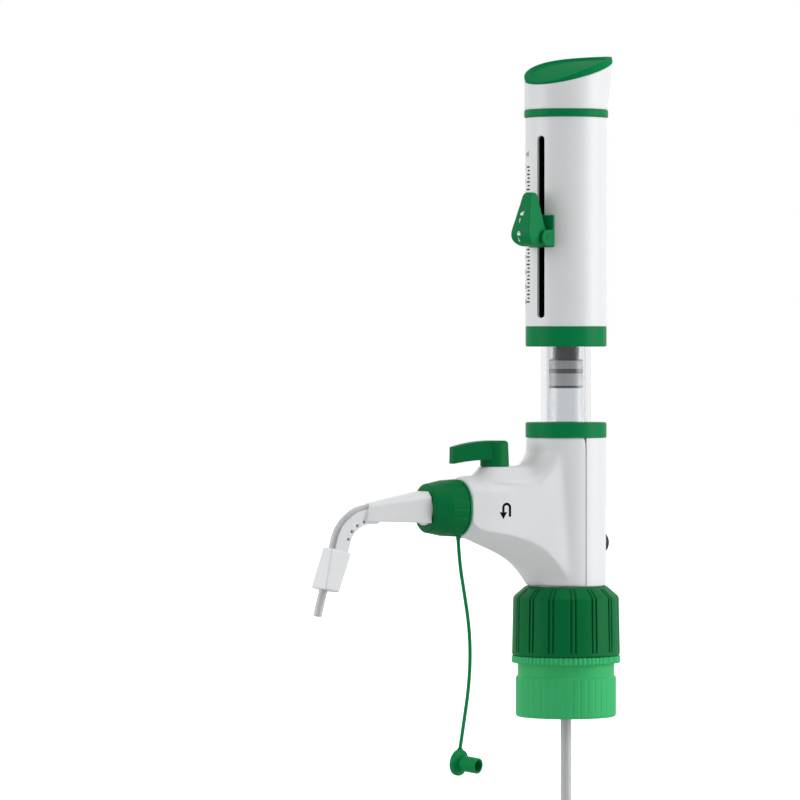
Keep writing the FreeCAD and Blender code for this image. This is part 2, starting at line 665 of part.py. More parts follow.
def spout_holder():
    """Flange, neck, tapering beam and the ribbed inside of the bend, drilled four times."""
    centre, along, inward, bend_end = spout_frame()
    beam_x = NUT_END_X - 0.4
    plug = rod(HOLDER_PLUG_R, HOLDER_PLUG_L, V(HOLDER_X, 0, ARM_Z), V(1, 0, 0))
    flange = rod(HOLDER_FLANGE_R, HOLDER_FLANGE_T, V(HOLDER_X, 0, ARM_Z), V(-1, 0, 0))
    neck = rod(HOLDER_NECK_R, HOLDER_NECK_X - beam_x + 1.0, V(HOLDER_NECK_X, 0, ARM_Z), V(-1, 0, 0))
    wide = beam_section(beam_x, BEAM_HALF_W, BEAM_LOW, BEAM_HIGH, 3.2, 0.0)
    slim = beam_section(SPOUT_BEND_X - 4.0, BEAM_TIP_HALF_W, BEAM_TIP_LOW, BEAM_TIP_HIGH, 1.6, BEAM_TIP_SLANT)
    beam = Part.makeLoft([Part.makePolygon(wide + [wide[0]]), Part.makePolygon(slim + [slim[0]])], True, True)
    arc_rib = Part.Face(Part.makePolygon([
        V(SPOUT_BEND_X + 4, -RIB_HALF_T, SPOUT_Z), V(SPOUT_BEND_X + 4, RIB_HALF_T, SPOUT_Z),
        V(SPOUT_BEND_X + 4, RIB_HALF_T, SPOUT_Z - RIB_DEPTH), V(SPOUT_BEND_X + 4, -RIB_HALF_T, SPOUT_Z - RIB_DEPTH),
        V(SPOUT_BEND_X + 4, -RIB_HALF_T, SPOUT_Z)]))
    lead = arc_rib.extrude(V(-4, 0, 0))
    arc_rib.translate(V(-4, 0, 0))
    arc_rib = arc_rib.revolve(centre, V(0, -1, 0), 90 - SPOUT_TILT)
    foot = bend_end + inward * RIB_DEPTH
    side = [bend_end, foot, foot + along * (CLIP_DROP + CLIP_L * 0.8), bend_end + along * (CLIP_DROP + CLIP_L * 0.8)]
    tail = plate_of([(p.x, p.z) for p in side], RIB_HALF_T)
    holes = []
    for i in range(RIB_HOLES):
        angle = math.radians(RIB_HOLE_START + i * RIB_HOLE_STEP)
        radius = SPOUT_BEND_R - RIB_HOLE_IN
        spot = V(centre.x - radius * math.sin(angle), -20, centre.z + radius * math.cos(angle))
        holes.append(rod(RIB_HOLE_R, 40, spot, V(0, 1, 0)))
    whole = flange.fuse([plug, neck, beam, lead, arc_rib, tail])
    return whole.cut(holes + [spout_tube_solid(TUBE_R + PUSH, HOLDER_X + HOLDER_PLUG_L)])


def tube_clip():
    """The wedge shaped grip that holds the tube to the rib."""
    centre, along, inward, bend_end = spout_frame()
    loops = []
    for drop, back, front, half in ((CLIP_DROP, 3.2, RIB_DEPTH + 1.0, 4.9), (CLIP_DROP + CLIP_L, 3.2, 5.4, 8.0)):
        spot = bend_end + along * drop
        ends = [spot - inward * back, spot + inward * front]
        loop = [ends[0] + V(0, -half, 0), ends[1] + V(0, -half, 0), ends[1] + V(0, half, 0), ends[0] + V(0, half, 0)]
        loops.append(Part.makePolygon(loop + [loop[0]]))
    grip = Part.makeLoft(loops, True, True)
    side = [bend_end, bend_end + inward * RIB_DEPTH, bend_end + inward * RIB_DEPTH + along * (CLIP_DROP + CLIP_L * 0.8),
            bend_end + along * (CLIP_DROP + CLIP_L * 0.8)]
    rib = plate_of([(p.x, p.z) for p in side], RIB_HALF_T + PUSH)
    return grip.cut([rib, spout_tube_solid(TUBE_R + PUSH, HOLDER_X)])


# Nozzle nut

def nozzle_nut():
    """The union nut: a tapered skirt with flutes at its rear half, and the mouth for the spout's neck."""
    end = NUT_L + NUT_CHAMFER
    skirt_end = 0.52 * NUT_L
    body = turned([(0, 0), (NUT_R - 0.7, 0), (NUT_R, 0.7), (NUT_R - 0.5, skirt_end), (NUT_FRONT_R + 0.4, NUT_L - 2.4),
                   (NUT_FRONT_R, NUT_L), (NUT_FRONT_R - NUT_CHAMFER, end), (0, end)],
                  V(NUT_X, 0, ARM_Z), V(-1, 0, 0))
    thread = rod(NOZZLE_R + NUT_THREAD_GAP, NUT_X - HOLDER_NECK_X + SEAT, V(NUT_X, 0, ARM_Z), V(-1, 0, 0))
    mouth = rod(NUT_MOUTH_R, 2 * NUT_L, V(NUT_X, 0, ARM_Z), V(-1, 0, 0))
    cuts = []
    for i in range(NUT_FLUTES):
        angle = 2 * math.pi * i / NUT_FLUTES
        radius = NUT_R + 0.75
        spot = V(NUT_X + 1, radius * math.cos(angle), ARM_Z + radius * math.sin(angle))
        cuts.append(rod(1.3, skirt_end + 1, spot, V(-1, 0, 0)))
    return body.cut(cuts).cut([thread, mouth])


# Valve lever

def valve_lever():
    """The tap lever: a round hub with an arm that reaches out over the nozzle nut."""
    low, high = BOSS_Z + SEAT, BOSS_Z + HUB_H
    hub = turned([(0, low), (HUB_R, low), (HUB_R - 0.5, high - 1.2), (HUB_R - 1.6, high), (0, high)], V(BOSS_X, 0, 0))
    tip_x = BOSS_X - LEVER_REACH
    root = [V(BOSS_X + 0.5, y, z) for y, z in ((-HUB_R + 0.6, low + LEVER_UNDER), (HUB_R - 0.6, low + LEVER_UNDER),
                                               (HUB_R - 1.6, high), (1.6 - HUB_R, high))]
    waist_x = BOSS_X - 0.45 * LEVER_REACH
    waist = [V(waist_x, y, z) for y, z in ((-4.6, low + LEVER_UNDER), (4.6, low + LEVER_UNDER),
                                           (4.0, high - 0.5), (-4.0, high - 0.5))]
    half = LEVER_TIP_W / 2
    tip = [V(tip_x, y, z) for y, z in ((-half, BOSS_Z + LEVER_TIP_LOW), (half, BOSS_Z + LEVER_TIP_LOW),
                                       (half - 0.4, BOSS_Z + LEVER_TIP_HIGH), (0.4 - half, BOSS_Z + LEVER_TIP_HIGH))]
    loops = [Part.makePolygon(loop + [loop[0]]) for loop in (root, waist, tip)]
    arm = Part.makeLoft(loops, True, False)
    socket = rod(SPINDLE_R - 1.4 + PUSH, HUB_H - 3.0, V(BOSS_X, 0, low))
    return hub.fuse(arm).cut(socket)


def valve_spindle():
    """The tap's plug: a seal land below, a flow hole across and the square-shouldered drive above."""
    low = ARM_Z - SPINDLE_FOOT + SEAT
    neck = BOSS_Z + SEAT
    body = turned([(0, low), (SPINDLE_R - 0.5, low), (SPINDLE_R, low + 0.5), (SPINDLE_R, neck),
                   (SPINDLE_R - 1.4, neck), (SPINDLE_R - 1.4, neck + HUB_H - 3.4), (0, neck + HUB_H - 3.4)],
                  V(BOSS_X, 0, 0))
    return body.cut(rod(SEAT_BORE_R, 4 * SPINDLE_R, V(BOSS_X + 2 * SPINDLE_R, 0, ARM_Z), V(-1, 0, 0)))


# Piston

def piston_head():
    low = PISTON_Z + PISTON_FACE_T
    return rod(BORE_R - PISTON_SLACK, PISTON_HEAD_H, V(0, 0, low))


def piston_face():
    return turned([(0, PISTON_Z), (BORE_R - 0.7, PISTON_Z), (BORE_R - RUN, PISTON_Z + 0.5),
                   (BORE_R - RUN, PISTON_Z + PISTON_FACE_T), (0, PISTON_Z + PISTON_FACE_T)])


def piston_seal():
    low = PISTON_Z + PISTON_FACE_T + PISTON_HEAD_H
    return ring(BORE_R - RUN, STALK_R - 1, PISTON_SEAL_H, V(0, 0, low))


def piston_stalk():
    """Skirt, stalk and the seat of the seal ring, in one turned piece."""
    low = PISTON_Z + PISTON_FACE_T + PISTON_HEAD_H
    skirt = low + PISTON_SEAL_H
    return turned([(0, low), (STALK_R - 1, low), (STALK_R - 1, skirt), (BORE_R - PISTON_SLACK, skirt),
                   (BORE_R - PISTON_SLACK, skirt + PISTON_SKIRT_H), (STALK_R, skirt + PISTON_SKIRT_H + 0.6),
                   (STALK_R, low + STALK_H), (0, low + STALK_H)])


def piston_rod():
    low = PISTON_Z + PISTON_FACE_T + PISTON_HEAD_H + STALK_H
    seat = TOP_RING_Z - SPIGOT_IN - SEAT
    return turned([(0, low), (ROD_R, low), (ROD_R, seat - ROD_SHOULDER_H), (ROD_SHOULDER_R, seat - ROD_SHOULDER_H),
                   (ROD_SHOULDER_R, seat), (ROD_R, seat), (ROD_R, CAP_Z + ROD_NUT_H), (0, CAP_Z + ROD_NUT_H)])


def rod_nut():
    """The hexagon nut that keeps the handle on the rod."""
    low = CAP_Z + SEAT
    corners = [V(ROD_NUT_R * math.cos(math.radians(60 * i)), ROD_NUT_R * math.sin(math.radians(60 * i)), low)
               for i in range(6)]
    hexagon = Part.Face(Part.makePolygon(corners + [corners[0]])).extrude(V(0, 0, ROD_NUT_H - SEAT))
    return hexagon.cut(rod(ROD_R + PUSH, ROD_NUT_H, V(0, 0, low)))


# Handle, drawn with its slot at -X and then turned

def handle_sleeve():
    tube = ring(SLEEVE_R, SLEEVE_IN_R, SLEEVE_H, V(0, 0, SLEEVE_Z))
    low = SLEEVE_Z + SLOT_RISE
    half = SLOT_W / 2
    slot = block(V(-SLEEVE_R - 1, -half, low + half), V(-SLEEVE_IN_R + 3, half, low + SLOT_H - half))
    ends = [rod(half, SLEEVE_WALL + 6, V(-SLEEVE_R - 1, 0, z), V(1, 0, 0))
            for z in (low + half, low + SLOT_H - half)]
    return tube.cut([slot] + ends)


def sleeve_base_ring():
    """The lower green ring, which runs on the jacket tube and plugs into the sleeve."""
    guide = JACKET_R + RUN
    web = HANDLE_Z + 4.0
    return turned([(guide, HANDLE_Z), (BASE_RING_R - 0.6, HANDLE_Z), (BASE_RING_R, HANDLE_Z + 0.6),
                   (BASE_RING_R, SLEEVE_Z), (SLEEVE_IN_R - PUSH, SLEEVE_Z), (SLEEVE_IN_R - PUSH, SLEEVE_Z + SPIGOT_IN),
                   (SLEEVE_IN_R - 1.4, SLEEVE_Z + SPIGOT_IN), (SLEEVE_IN_R - 1.4, web), (guide, web)])


def sleeve_top_ring():
    """The upper green ring with the web that carries the piston rod."""
    spigot = SLEEVE_IN_R - PUSH
    low, high = TOP_RING_Z - SPIGOT_IN, CAP_Z + SPIGOT_IN
    return turned([(ROD_R + RUN, low), (spigot, low), (spigot, TOP_RING_Z), (TOP_RING_R - 0.5, TOP_RING_Z),
                   (TOP_RING_R, TOP_RING_Z + 0.5), (TOP_RING_R, CAP_Z - 0.5), (TOP_RING_R - 0.5, CAP_Z),
                   (spigot, CAP_Z), (spigot, high), (spigot - 2, high), (spigot - 2, CAP_Z), (ROD_R + RUN, CAP_Z)])


def rim_frame():
    """Centre, long direction, upward normal and half lengths of the tilted rim."""
    front = V(-CAP_FRONT, 0, CAP_Z + CAP_LOW_H)
    back = V(CAP_BACK, 0, CAP_Z + CAP_HIGH_H)
    centre = (front + back) * 0.5
    along = (back - front) * 0.5
    normal = V(-along.z, 0, along.x).normalize()
    return centre, along, normal


def rim_wire(share, grow):
    """The cap's cross-section: a circle at the foot that tips and stretches into the rim."""
    centre, along, normal = rim_frame()
    foot, foot_along = V(0, 0, CAP_Z), V(CAP_FOOT_R, 0, 0)
    flare = share ** 1.6
    mid = V(foot.x + (centre.x - foot.x) * flare, 0, foot.z + (centre.z - foot.z) * share)
    axis = V(foot_along.x + (along.x - foot_along.x) * flare, 0, along.z * share)
    half_w = CAP_FOOT_R + (CAP_HALF_W - CAP_FOOT_R) * share
    long_half = axis.Length - grow
    tipped = V(-axis.z, 0, axis.x).normalize()
    ellipse = Part.Ellipse(mid + axis.normalize() * long_half, mid + V(0, half_w - grow - 0.001, 0), mid)
    ellipse.Axis = tipped
    return Part.Wire(ellipse.toShape())


def top_cap():
    """The white cap: round at its foot, flared and slanted at its rim."""
    outer = Part.makeLoft([rim_wire(share, 0) for share in (0.0, 0.33, 0.66, 1.0)], True, False)
    room = turned([(0, CAP_Z - 1), (SLEEVE_IN_R, CAP_Z - 1), (SLEEVE_IN_R, CAP_Z + 4), (SLEEVE_IN_R - 5, CAP_Z + 8.6),
                   (0, CAP_Z + 8.6)])
    return outer.cut(room)


def rim_ellipse(grow, lift):
    """The rim's outline drawn in by a margin and lifted off the rim's plane."""
    centre, along, normal = rim_frame()
    middle = centre + normal * lift
    long_way = V(along).normalize() * (along.Length - grow)
    ellipse = Part.Ellipse(middle + long_way, middle + V(0, CAP_HALF_W - grow - 0.001, 0), middle)
    ellipse.Axis = normal
    return Part.Wire(ellipse.toShape())


def thumb_pad():
    """The green pad that the thumb presses: domed along its length, with a raised lip round a dish."""
    centre, along, normal = rim_frame()
    span = along.Length
    radius = (span ** 2 + PAD_RISE ** 2) / (2 * PAD_RISE)
    top = PAD_END_T + PAD_RISE
    axis_at = centre + normal * (top - radius) + V(0, -40, 0)
    dome = rod(radius, 80, axis_at, V(0, 1, 0))
    floor = rod(radius - PAD_DISH, 80, axis_at, V(0, 1, 0))
    body = Part.Face(rim_ellipse(0.25, 0.0)).extrude(normal * (top + 1)).common(dome)
    low = PAD_END_T - PAD_DISH
    dish = Part.makeLoft([rim_ellipse(PAD_LIP_FOOT + 1.2, low), rim_ellipse(PAD_LIP - 1.0, top + 1)], True, True)
    return body.cut(dish.cut(floor))


# Volume adjuster, drawn at -X and then turned with the handle

def adjuster_base():
    """The curved plate on the sleeve, with the two ears that hold the lock lever's pin."""
    low = ADJUSTER_Z - PLATE_HALF_H
    outer_r = PLATE_IN_R + PLATE_T
    shell = ring(outer_r, PLATE_IN_R, 2 * PLATE_HALF_H, V(0, 0, low))
    plate = shell.common(block(V(-outer_r, -PLATE_HALF_W, low), V(0, PLATE_HALF_W, low + 2 * PLATE_HALF_H)))
    ears = []
    for side in (-1, 1):
        inner = side * (PLATE_HALF_W - EAR_T)
        low_y, high_y = min(inner, side * PLATE_HALF_W), max(inner, side * PLATE_HALF_W)
        foot = block(V(PIN_X, low_y, PIN_Z - EAR_R), V(-PLATE_IN_R + 0.9, high_y, PIN_Z + EAR_R))
        ears += [rod(EAR_R, EAR_T, V(PIN_X, low_y, PIN_Z), V(0, 1, 0)), foot]
    body = plate.fuse(ears).cut(rod(PLATE_IN_R, 4 * PLATE_HALF_H, V(0, 0, low - PLATE_HALF_H)))
    stem_room = block(V(-outer_r - 1, -STEM_HALF_W - PUSH, PIN_Z + 1.0), V(0, STEM_HALF_W + PUSH, BLOCK_TOP_Z + PUSH))
    return body.cut([rod(PIN_R + PUSH, 40, V(PIN_X, -20, PIN_Z), V(0, 1, 0)), stem_room])


def stop_block():
    """The inner block that meets the stroke stop, with its stem through the slot."""
    low = ADJUSTER_Z - PLATE_HALF_H + 1.0
    shoe_r = SLEEVE_IN_R - LOOSE
    shoe = ring(shoe_r, BLOCK_IN_R, BLOCK_TOP_Z - low, V(0, 0, low))
    shoe = shoe.common(block(V(-shoe_r, -BLOCK_HALF_W, low), V(0, BLOCK_HALF_W, BLOCK_TOP_Z)))
    stem = block(V(-PLATE_IN_R - PLATE_T, -STEM_HALF_W, PIN_Z + 1.0 + PUSH), V(-BLOCK_IN_R - 1, STEM_HALF_W, BLOCK_TOP_Z))
    return shoe.fuse(stem)


def lever_pin():
    return rod(PIN_R, 2 * PLATE_HALF_W, V(PIN_X, -PLATE_HALF_W, PIN_Z), V(0, 1, 0))


def lock_lever():
    """The rocker: a wedge that stands off at its top, broad and round at its foot."""
    foot_z = ADJUSTER_Z - PLATE_HALF_H + 0.4
    near = -(PLATE_IN_R + PLATE_T + 1.2)
    top_z = ADJUSTER_Z + 20.2
    corners = [(-27.8, top_z), (-32.8, top_z), (-38.6, foot_z + 9.0), (-33.0, foot_z), (near, foot_z), (near, PIN_Z + 3.0)]
    points = [V(x, -LEVER_LOW_HALF_W, z) for x, z in corners]
    edges = [Part.makeLine(points[0], points[1]), Part.makeLine(points[1], points[2]),
             Part.Arc(points[2], V(-37.6, -LEVER_LOW_HALF_W, foot_z + 2.8), points[3]).toShape(),
             Part.makeLine(points[3], points[4]), Part.makeLine(points[4], points[5]),
             Part.makeLine(points[5], points[0])]
    wedge = Part.Face(Part.Wire(edges)).extrude(V(0, 2 * LEVER_LOW_HALF_W, 0))
    shape = [(-LEVER_LOW_HALF_W, foot_z + 6), (-LEVER_TOP_HALF_W, top_z - 2.5), (LEVER_TOP_HALF_W, top_z - 2.5),
             (LEVER_LOW_HALF_W, foot_z + 6)]
    a, b, c, d = [V(-45, y, z) for y, z in shape]
    outline = [Part.makeLine(a, b), Part.Arc(b, V(-45, 0, top_z + 0.2), c).toShape(), Part.makeLine(c, d),
               Part.Arc(d, V(-45, 0, foot_z - 1.0), a).toShape()]
    front = Part.Face(Part.Wire(outline)).extrude(V(40, 0, 0))
    lever = wedge.common(front)
    return lever.cut(rod(PIN_R + RUN, 40, V(PIN_X, -20, PIN_Z), V(0, 1, 0)))


# Tether

def tether_ring():
    """The ring trapped behind the nozzle nut, with the lug that the cord hangs from."""
    hoop = ring(TETHER_R, NOZZLE_R + PUSH, TETHER_T, V(TETHER_X, 0, ARM_Z), V(-1, 0, 0))
    lug = rod(TETHER_LUG_R, TETHER_LUG_H, V(CORD_START.x, 0, CORD_START.z), UP)
    near = block(V(TETHER_X - TETHER_T, -9, ARM_Z - 30), V(TETHER_X, 9, ARM_Z))
    return hoop.fuse(lug.common(near))


def closure_frame():
    axis = V(CLOSURE_AXIS).normalize()
    up = (UP - axis * UP.dot(axis)).normalize()
    return axis, up, CLOSURE_AT + up * (CLOSURE_R + 0.7)


def closure_cap():
    """The cap that closes the spout: a flange, a hollow stub and the lug of its cord."""
    axis, up, lug_end = closure_frame()
    flange = turned([(0, 0), (CLOSURE_R - 0.5, 0), (CLOSURE_R, 0.5), (CLOSURE_R, CLOSURE_T - 0.5),
                     (CLOSURE_R - 0.5, CLOSURE_T), (0, CLOSURE_T)], CLOSURE_AT - axis * (CLOSURE_T / 2), axis)
    stub = rod(CLOSURE_STUB_R, CLOSURE_STUB_L + CLOSURE_T / 2, CLOSURE_AT, axis)
    room = rod(CLOSURE_STUB_R - CLOSURE_WALL, CLOSURE_STUB_L, CLOSURE_AT + axis * CLOSURE_T, axis)
    lug = rod(1.4, 2.4, lug_end - up * 2.4, up)
    return flange.fuse([stub, lug]).cut(room)


def tether_cord():
    axis, up, lug_end = closure_frame()
    return swept([CORD_START] + CORD_ROUTE + [lug_end], CORD_R)


def turned_with_handle(shape):
    shape.rotate(V(0, 0, 0), UP, HANDLE_TURN)
    return shape


def main():
    os.makedirs("parts", exist_ok=True)
    front_housing, rear_housing = housing_halves()
    nodes = {
        "bottle_adapter": bottle_adapter(),
        "neck_gasket": neck_gasket(),
        "collar_nut": collar_nut(),
        "valve_block": valve_block(),
        "suction_valve": suction_valve(),
        "suction_ball": suction_ball(),
        "discharge_ball": discharge_ball(),
        "discharge_spring": discharge_spring(),
        "glass_cylinder": glass_cylinder(),
        "jacket_tube": jacket_tube(),
        "stroke_stop": stroke_stop(),
        "front_housing": front_housing,
        "rear_housing": rear_housing,
        "housing_ring": housing_ring(),
        "filling_tube": filling_tube(),
        "filling_tube_lower": filling_tube_lower(),
        "return_tube": return_tube(),
        "vent_plug": vent_plug(),
        "spout_holder": spout_holder(),
        "discharge_tube": discharge_tube(),
        "tube_clip": tube_clip(),
        "nozzle_nut": nozzle_nut(),
        "valve_lever": valve_lever(),
        "valve_spindle": valve_spindle(),
        "piston_face": piston_face(),
        "piston_head": piston_head(),
        "piston_seal": piston_seal(),
        "piston_stalk": piston_stalk(),
        "piston_rod": piston_rod(),
        "rod_nut": rod_nut(),
        "handle_sleeve": turned_with_handle(handle_sleeve()),
        "sleeve_base_ring": turned_with_handle(sleeve_base_ring()),
        "sleeve_top_ring": turned_with_handle(sleeve_top_ring()),
        "top_cap": turned_with_handle(top_cap()),
        "thumb_pad": turned_with_handle(thumb_pad()),
        "adjuster_base": turned_with_handle(adjuster_base()),
        "stop_block": turned_with_handle(stop_block()),
        "lever_pin": turned_with_handle(lever_pin()),
        "lock_lever": turned_with_handle(lock_lever()),
        "tether_ring": tether_ring(),
        "tether_cord": tether_cord(),
        "closure_cap": closure_cap(),
    }
    for name, shape in nodes.items():
        shape.exportStep(f"parts/{name}.step")
        print(f"{name}: solids {len(shape.Solids)}, valid {shape.isValid()}, volume {shape.Volume:.0f}")


main()
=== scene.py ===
import json
import math

import bmesh
import bpy
from bpy.props import FloatProperty, FloatVectorProperty, IntProperty, PointerProperty
from mathutils import Matrix, Vector
from mathutils.bvhtree import BVHTree
from mathutils.kdtree import KDTree


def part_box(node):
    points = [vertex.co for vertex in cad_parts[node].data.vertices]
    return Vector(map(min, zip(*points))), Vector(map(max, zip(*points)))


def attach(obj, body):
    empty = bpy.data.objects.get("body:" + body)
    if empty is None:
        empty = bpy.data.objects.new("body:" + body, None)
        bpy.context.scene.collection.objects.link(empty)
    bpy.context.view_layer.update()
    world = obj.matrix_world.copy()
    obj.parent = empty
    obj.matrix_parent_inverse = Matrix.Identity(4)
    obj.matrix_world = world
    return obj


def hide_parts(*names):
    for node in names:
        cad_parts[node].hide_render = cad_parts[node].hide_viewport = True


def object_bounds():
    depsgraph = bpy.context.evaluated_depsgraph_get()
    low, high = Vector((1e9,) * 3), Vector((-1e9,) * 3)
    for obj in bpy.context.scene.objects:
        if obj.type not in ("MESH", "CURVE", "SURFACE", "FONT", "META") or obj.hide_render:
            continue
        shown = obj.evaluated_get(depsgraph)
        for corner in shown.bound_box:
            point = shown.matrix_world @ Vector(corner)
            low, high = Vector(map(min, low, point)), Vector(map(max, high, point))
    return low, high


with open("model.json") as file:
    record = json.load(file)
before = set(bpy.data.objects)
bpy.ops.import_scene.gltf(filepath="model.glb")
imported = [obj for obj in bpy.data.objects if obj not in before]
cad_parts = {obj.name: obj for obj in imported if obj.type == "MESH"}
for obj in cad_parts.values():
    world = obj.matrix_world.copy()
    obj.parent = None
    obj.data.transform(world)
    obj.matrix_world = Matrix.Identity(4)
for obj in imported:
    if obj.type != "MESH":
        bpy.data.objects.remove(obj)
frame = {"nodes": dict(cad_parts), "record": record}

bl_info = {
    "name": "Bottle top dispenser",
    "version": (1, 0, 0),
    "blender": (4, 5, 0),
    "location": "View3D > Sidebar > Dispenser",
    "description": "Dresses the frame of a bottle top dispenser with finishes, marks and a stage",
    "category": "Object",
}

NODES = frame["nodes"]
BODY_OF = {node: body for body, nodes in frame["record"]["behaviour"]["bodies"].items() for node in nodes}
CAD_BOX = [list(corner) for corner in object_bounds()]
MM = 0.001

# How far the handle is turned on the piston
HANDLE_TURN = math.radians(22.0)

# The camera, the level directions toward it and to its right, and what the lamps aim at
CAMERA_PLACE = (-1.350, -2.338, 0.1967)
CAMERA_AIM = (-0.0756, 0.0437, 0.1662)
NEAR = (-0.5, -0.866, 0.0)
RIGHT = (0.866, -0.5, 0.0)
LAMP_AIM = (-0.03, 0.0, 0.16)

# Prints are closed films that lie just proud of their surface
PROUD = 0.00004
FILM = 0.00002

# Refraction of plain plastic. The greens and the prints have less, because they hardly mirror the sky
PLASTIC_IOR = 1.49

# Centre line of the tether's cord in millimetres, from the ring's lug to the cap's
TETHER_ROUTE = ((-64.65, 0.0, 93.7), (-63.9, 0.0, 82.0), (-60.8, 0.4, 66.0), (-57.7, 0.9, 49.0),
                (-56.8, 1.1, 33.0), (-58.0, 0.8, 16.5), (-60.9, 0.2, 0.5), (-63.87, -0.70, -14.44))


# Properties a user would change

class StageSizes(bpy.types.PropertyGroup):
    lens: FloatProperty(
        name="Lens", description="Focal length on a 36 mm sensor", default=231.0, unit="CAMERA")
    key_power: FloatProperty(
        name="Key power", description="Lamp on the right", default=12.5, unit="POWER")
    fill_power: FloatProperty(
        name="Fill power", description="Lamp on the left", default=7.0, unit="POWER")
    top_power: FloatProperty(
        name="Top power", description="Lamp overhead", default=3.0, unit="POWER")
    sky: FloatProperty(
        name="Sky", description="Strength of the even light", default=0.86, min=0.0, max=1.0)
    front_shade: FloatProperty(
        name="Front shade", description="How far the sky dims toward the camera's side",
        default=0.62, min=0.0, max=1.0)
    floor_tone: FloatProperty(
        name="Floor tone", description="Grey level of the floor", default=0.62, min=0.0, max=1.0)
    floor_glow: FloatProperty(
        name="Floor glow", description="How far the floor is lifted toward white where it is seen directly",
        default=0.26, min=0.0, max=1.0)
    floor_size: FloatProperty(
        name="Floor size", description="Width of the floor", default=14.0, unit="LENGTH")


class ShellSizes(bpy.types.PropertyGroup):
    white: FloatVectorProperty(
        name="Shell white", description="Colour of the white mouldings", subtype="COLOR",
        default=(0.77, 0.78, 0.79), min=0.0, max=1.0)
    edge: FloatProperty(
        name="Edge radius", description="Rounding of the moulded edges", default=0.00035, unit="LENGTH")
    # The bore's painted shade: inside this radius the sleeve is coloured near black, standing in for the
    # shadow inside it.
    bore_shade: FloatProperty(
        name="Lining radius", description="Outer radius of the dark lining in the sleeve's bore",
        default=0.0200, unit="LENGTH")
    seam: FloatProperty(
        name="Seam width", description="Width of the seam between the housing halves",
        default=0.0004, unit="LENGTH")


class TrimSizes(bpy.types.PropertyGroup):
    ring: FloatVectorProperty(
        name="Trim green", description="Colour of the rings, pad and lock lever", subtype="COLOR",
        default=(0.001, 0.204, 0.060), min=0.0, max=1.0)
    nut: FloatVectorProperty(
        name="Nut green", description="Colour of the collar, nozzle nut and valve lever", subtype="COLOR",
        default=(0.0005, 0.150, 0.040), min=0.0, max=1.0)
    adapter: FloatVectorProperty(
        name="Adapter green", description="Colour of the bottle adapter", subtype="COLOR",
        default=(0.045, 0.465, 0.155), min=0.0, max=1.0)
    edge: FloatProperty(
        name="Edge radius", description="Rounding of the green edges", default=0.0003, unit="LENGTH")


class TetherSizes(bpy.types.PropertyGroup):
    length: FloatProperty(
        name="Cord length", description="From the ring's lug to the cap's lug", default=0.1093, unit="LENGTH")
    diameter: FloatProperty(
        name="Cord diameter", description="Thickness of the cord", default=0.0019, unit="LENGTH")
    colour: FloatVectorProperty(
        name="Cord green", description="Colour of the cord and its cap", subtype="COLOR",
        default=(0.002, 0.235, 0.065), min=0.0, max=1.0)


class ScaleSizes(bpy.types.PropertyGroup):
    top: FloatProperty(
        name="Zero height", description="Height at which the volume would be zero",
        default=0.2963, unit="LENGTH")
    pitch: FloatProperty(
        name="Pitch", description="Height of one millilitre", default=0.00393, unit="LENGTH")
    first: IntProperty(
        name="First volume", description="Millilitres at the highest mark", default=2, min=0)
    full: IntProperty(
        name="Full volume", description="Millilitres at the lowest mark", default=20, min=1)
    angle: FloatProperty(
        name="Angle", description="Place of the marks round the sleeve", subtype="ANGLE",
        default=math.radians(177.0))


# Shader maths and finishes

class Term:
    """A shader value whose operators add the Math nodes they stand for."""

    def __init__(self, paint, socket):
        self.paint = paint
        self.socket = socket

    def math(self, operation, *values):
        sockets = dict(enumerate(values))
        return self.paint.node("ShaderNodeMath", {"operation": operation}, sockets)

    def __add__(self, other):
        return self.math("ADD", self, other)

    def __radd__(self, other):
        return self.math("ADD", other, self)

    def __sub__(self, other):
        return self.math("SUBTRACT", self, other)

    def __rsub__(self, other):
        return self.math("SUBTRACT", other, self)

    def __mul__(self, other):
        return self.math("MULTIPLY", self, other)

    def __rmul__(self, other):
        return self.math("MULTIPLY", other, self)

    def __truediv__(self, other):
        return self.math("DIVIDE", self, other)

    def __rtruediv__(self, other):
        return self.math("DIVIDE", other, self)

    def clipped(self):
        """Held between 0 and 1."""
        return self.math("MINIMUM", self.math("MAXIMUM", self, 0.0), 1.0)

    def step(self, start, end):
        """Rises from 0 to 1 as the value goes from start to end."""
        return ((self - start) / (end - start)).clipped()


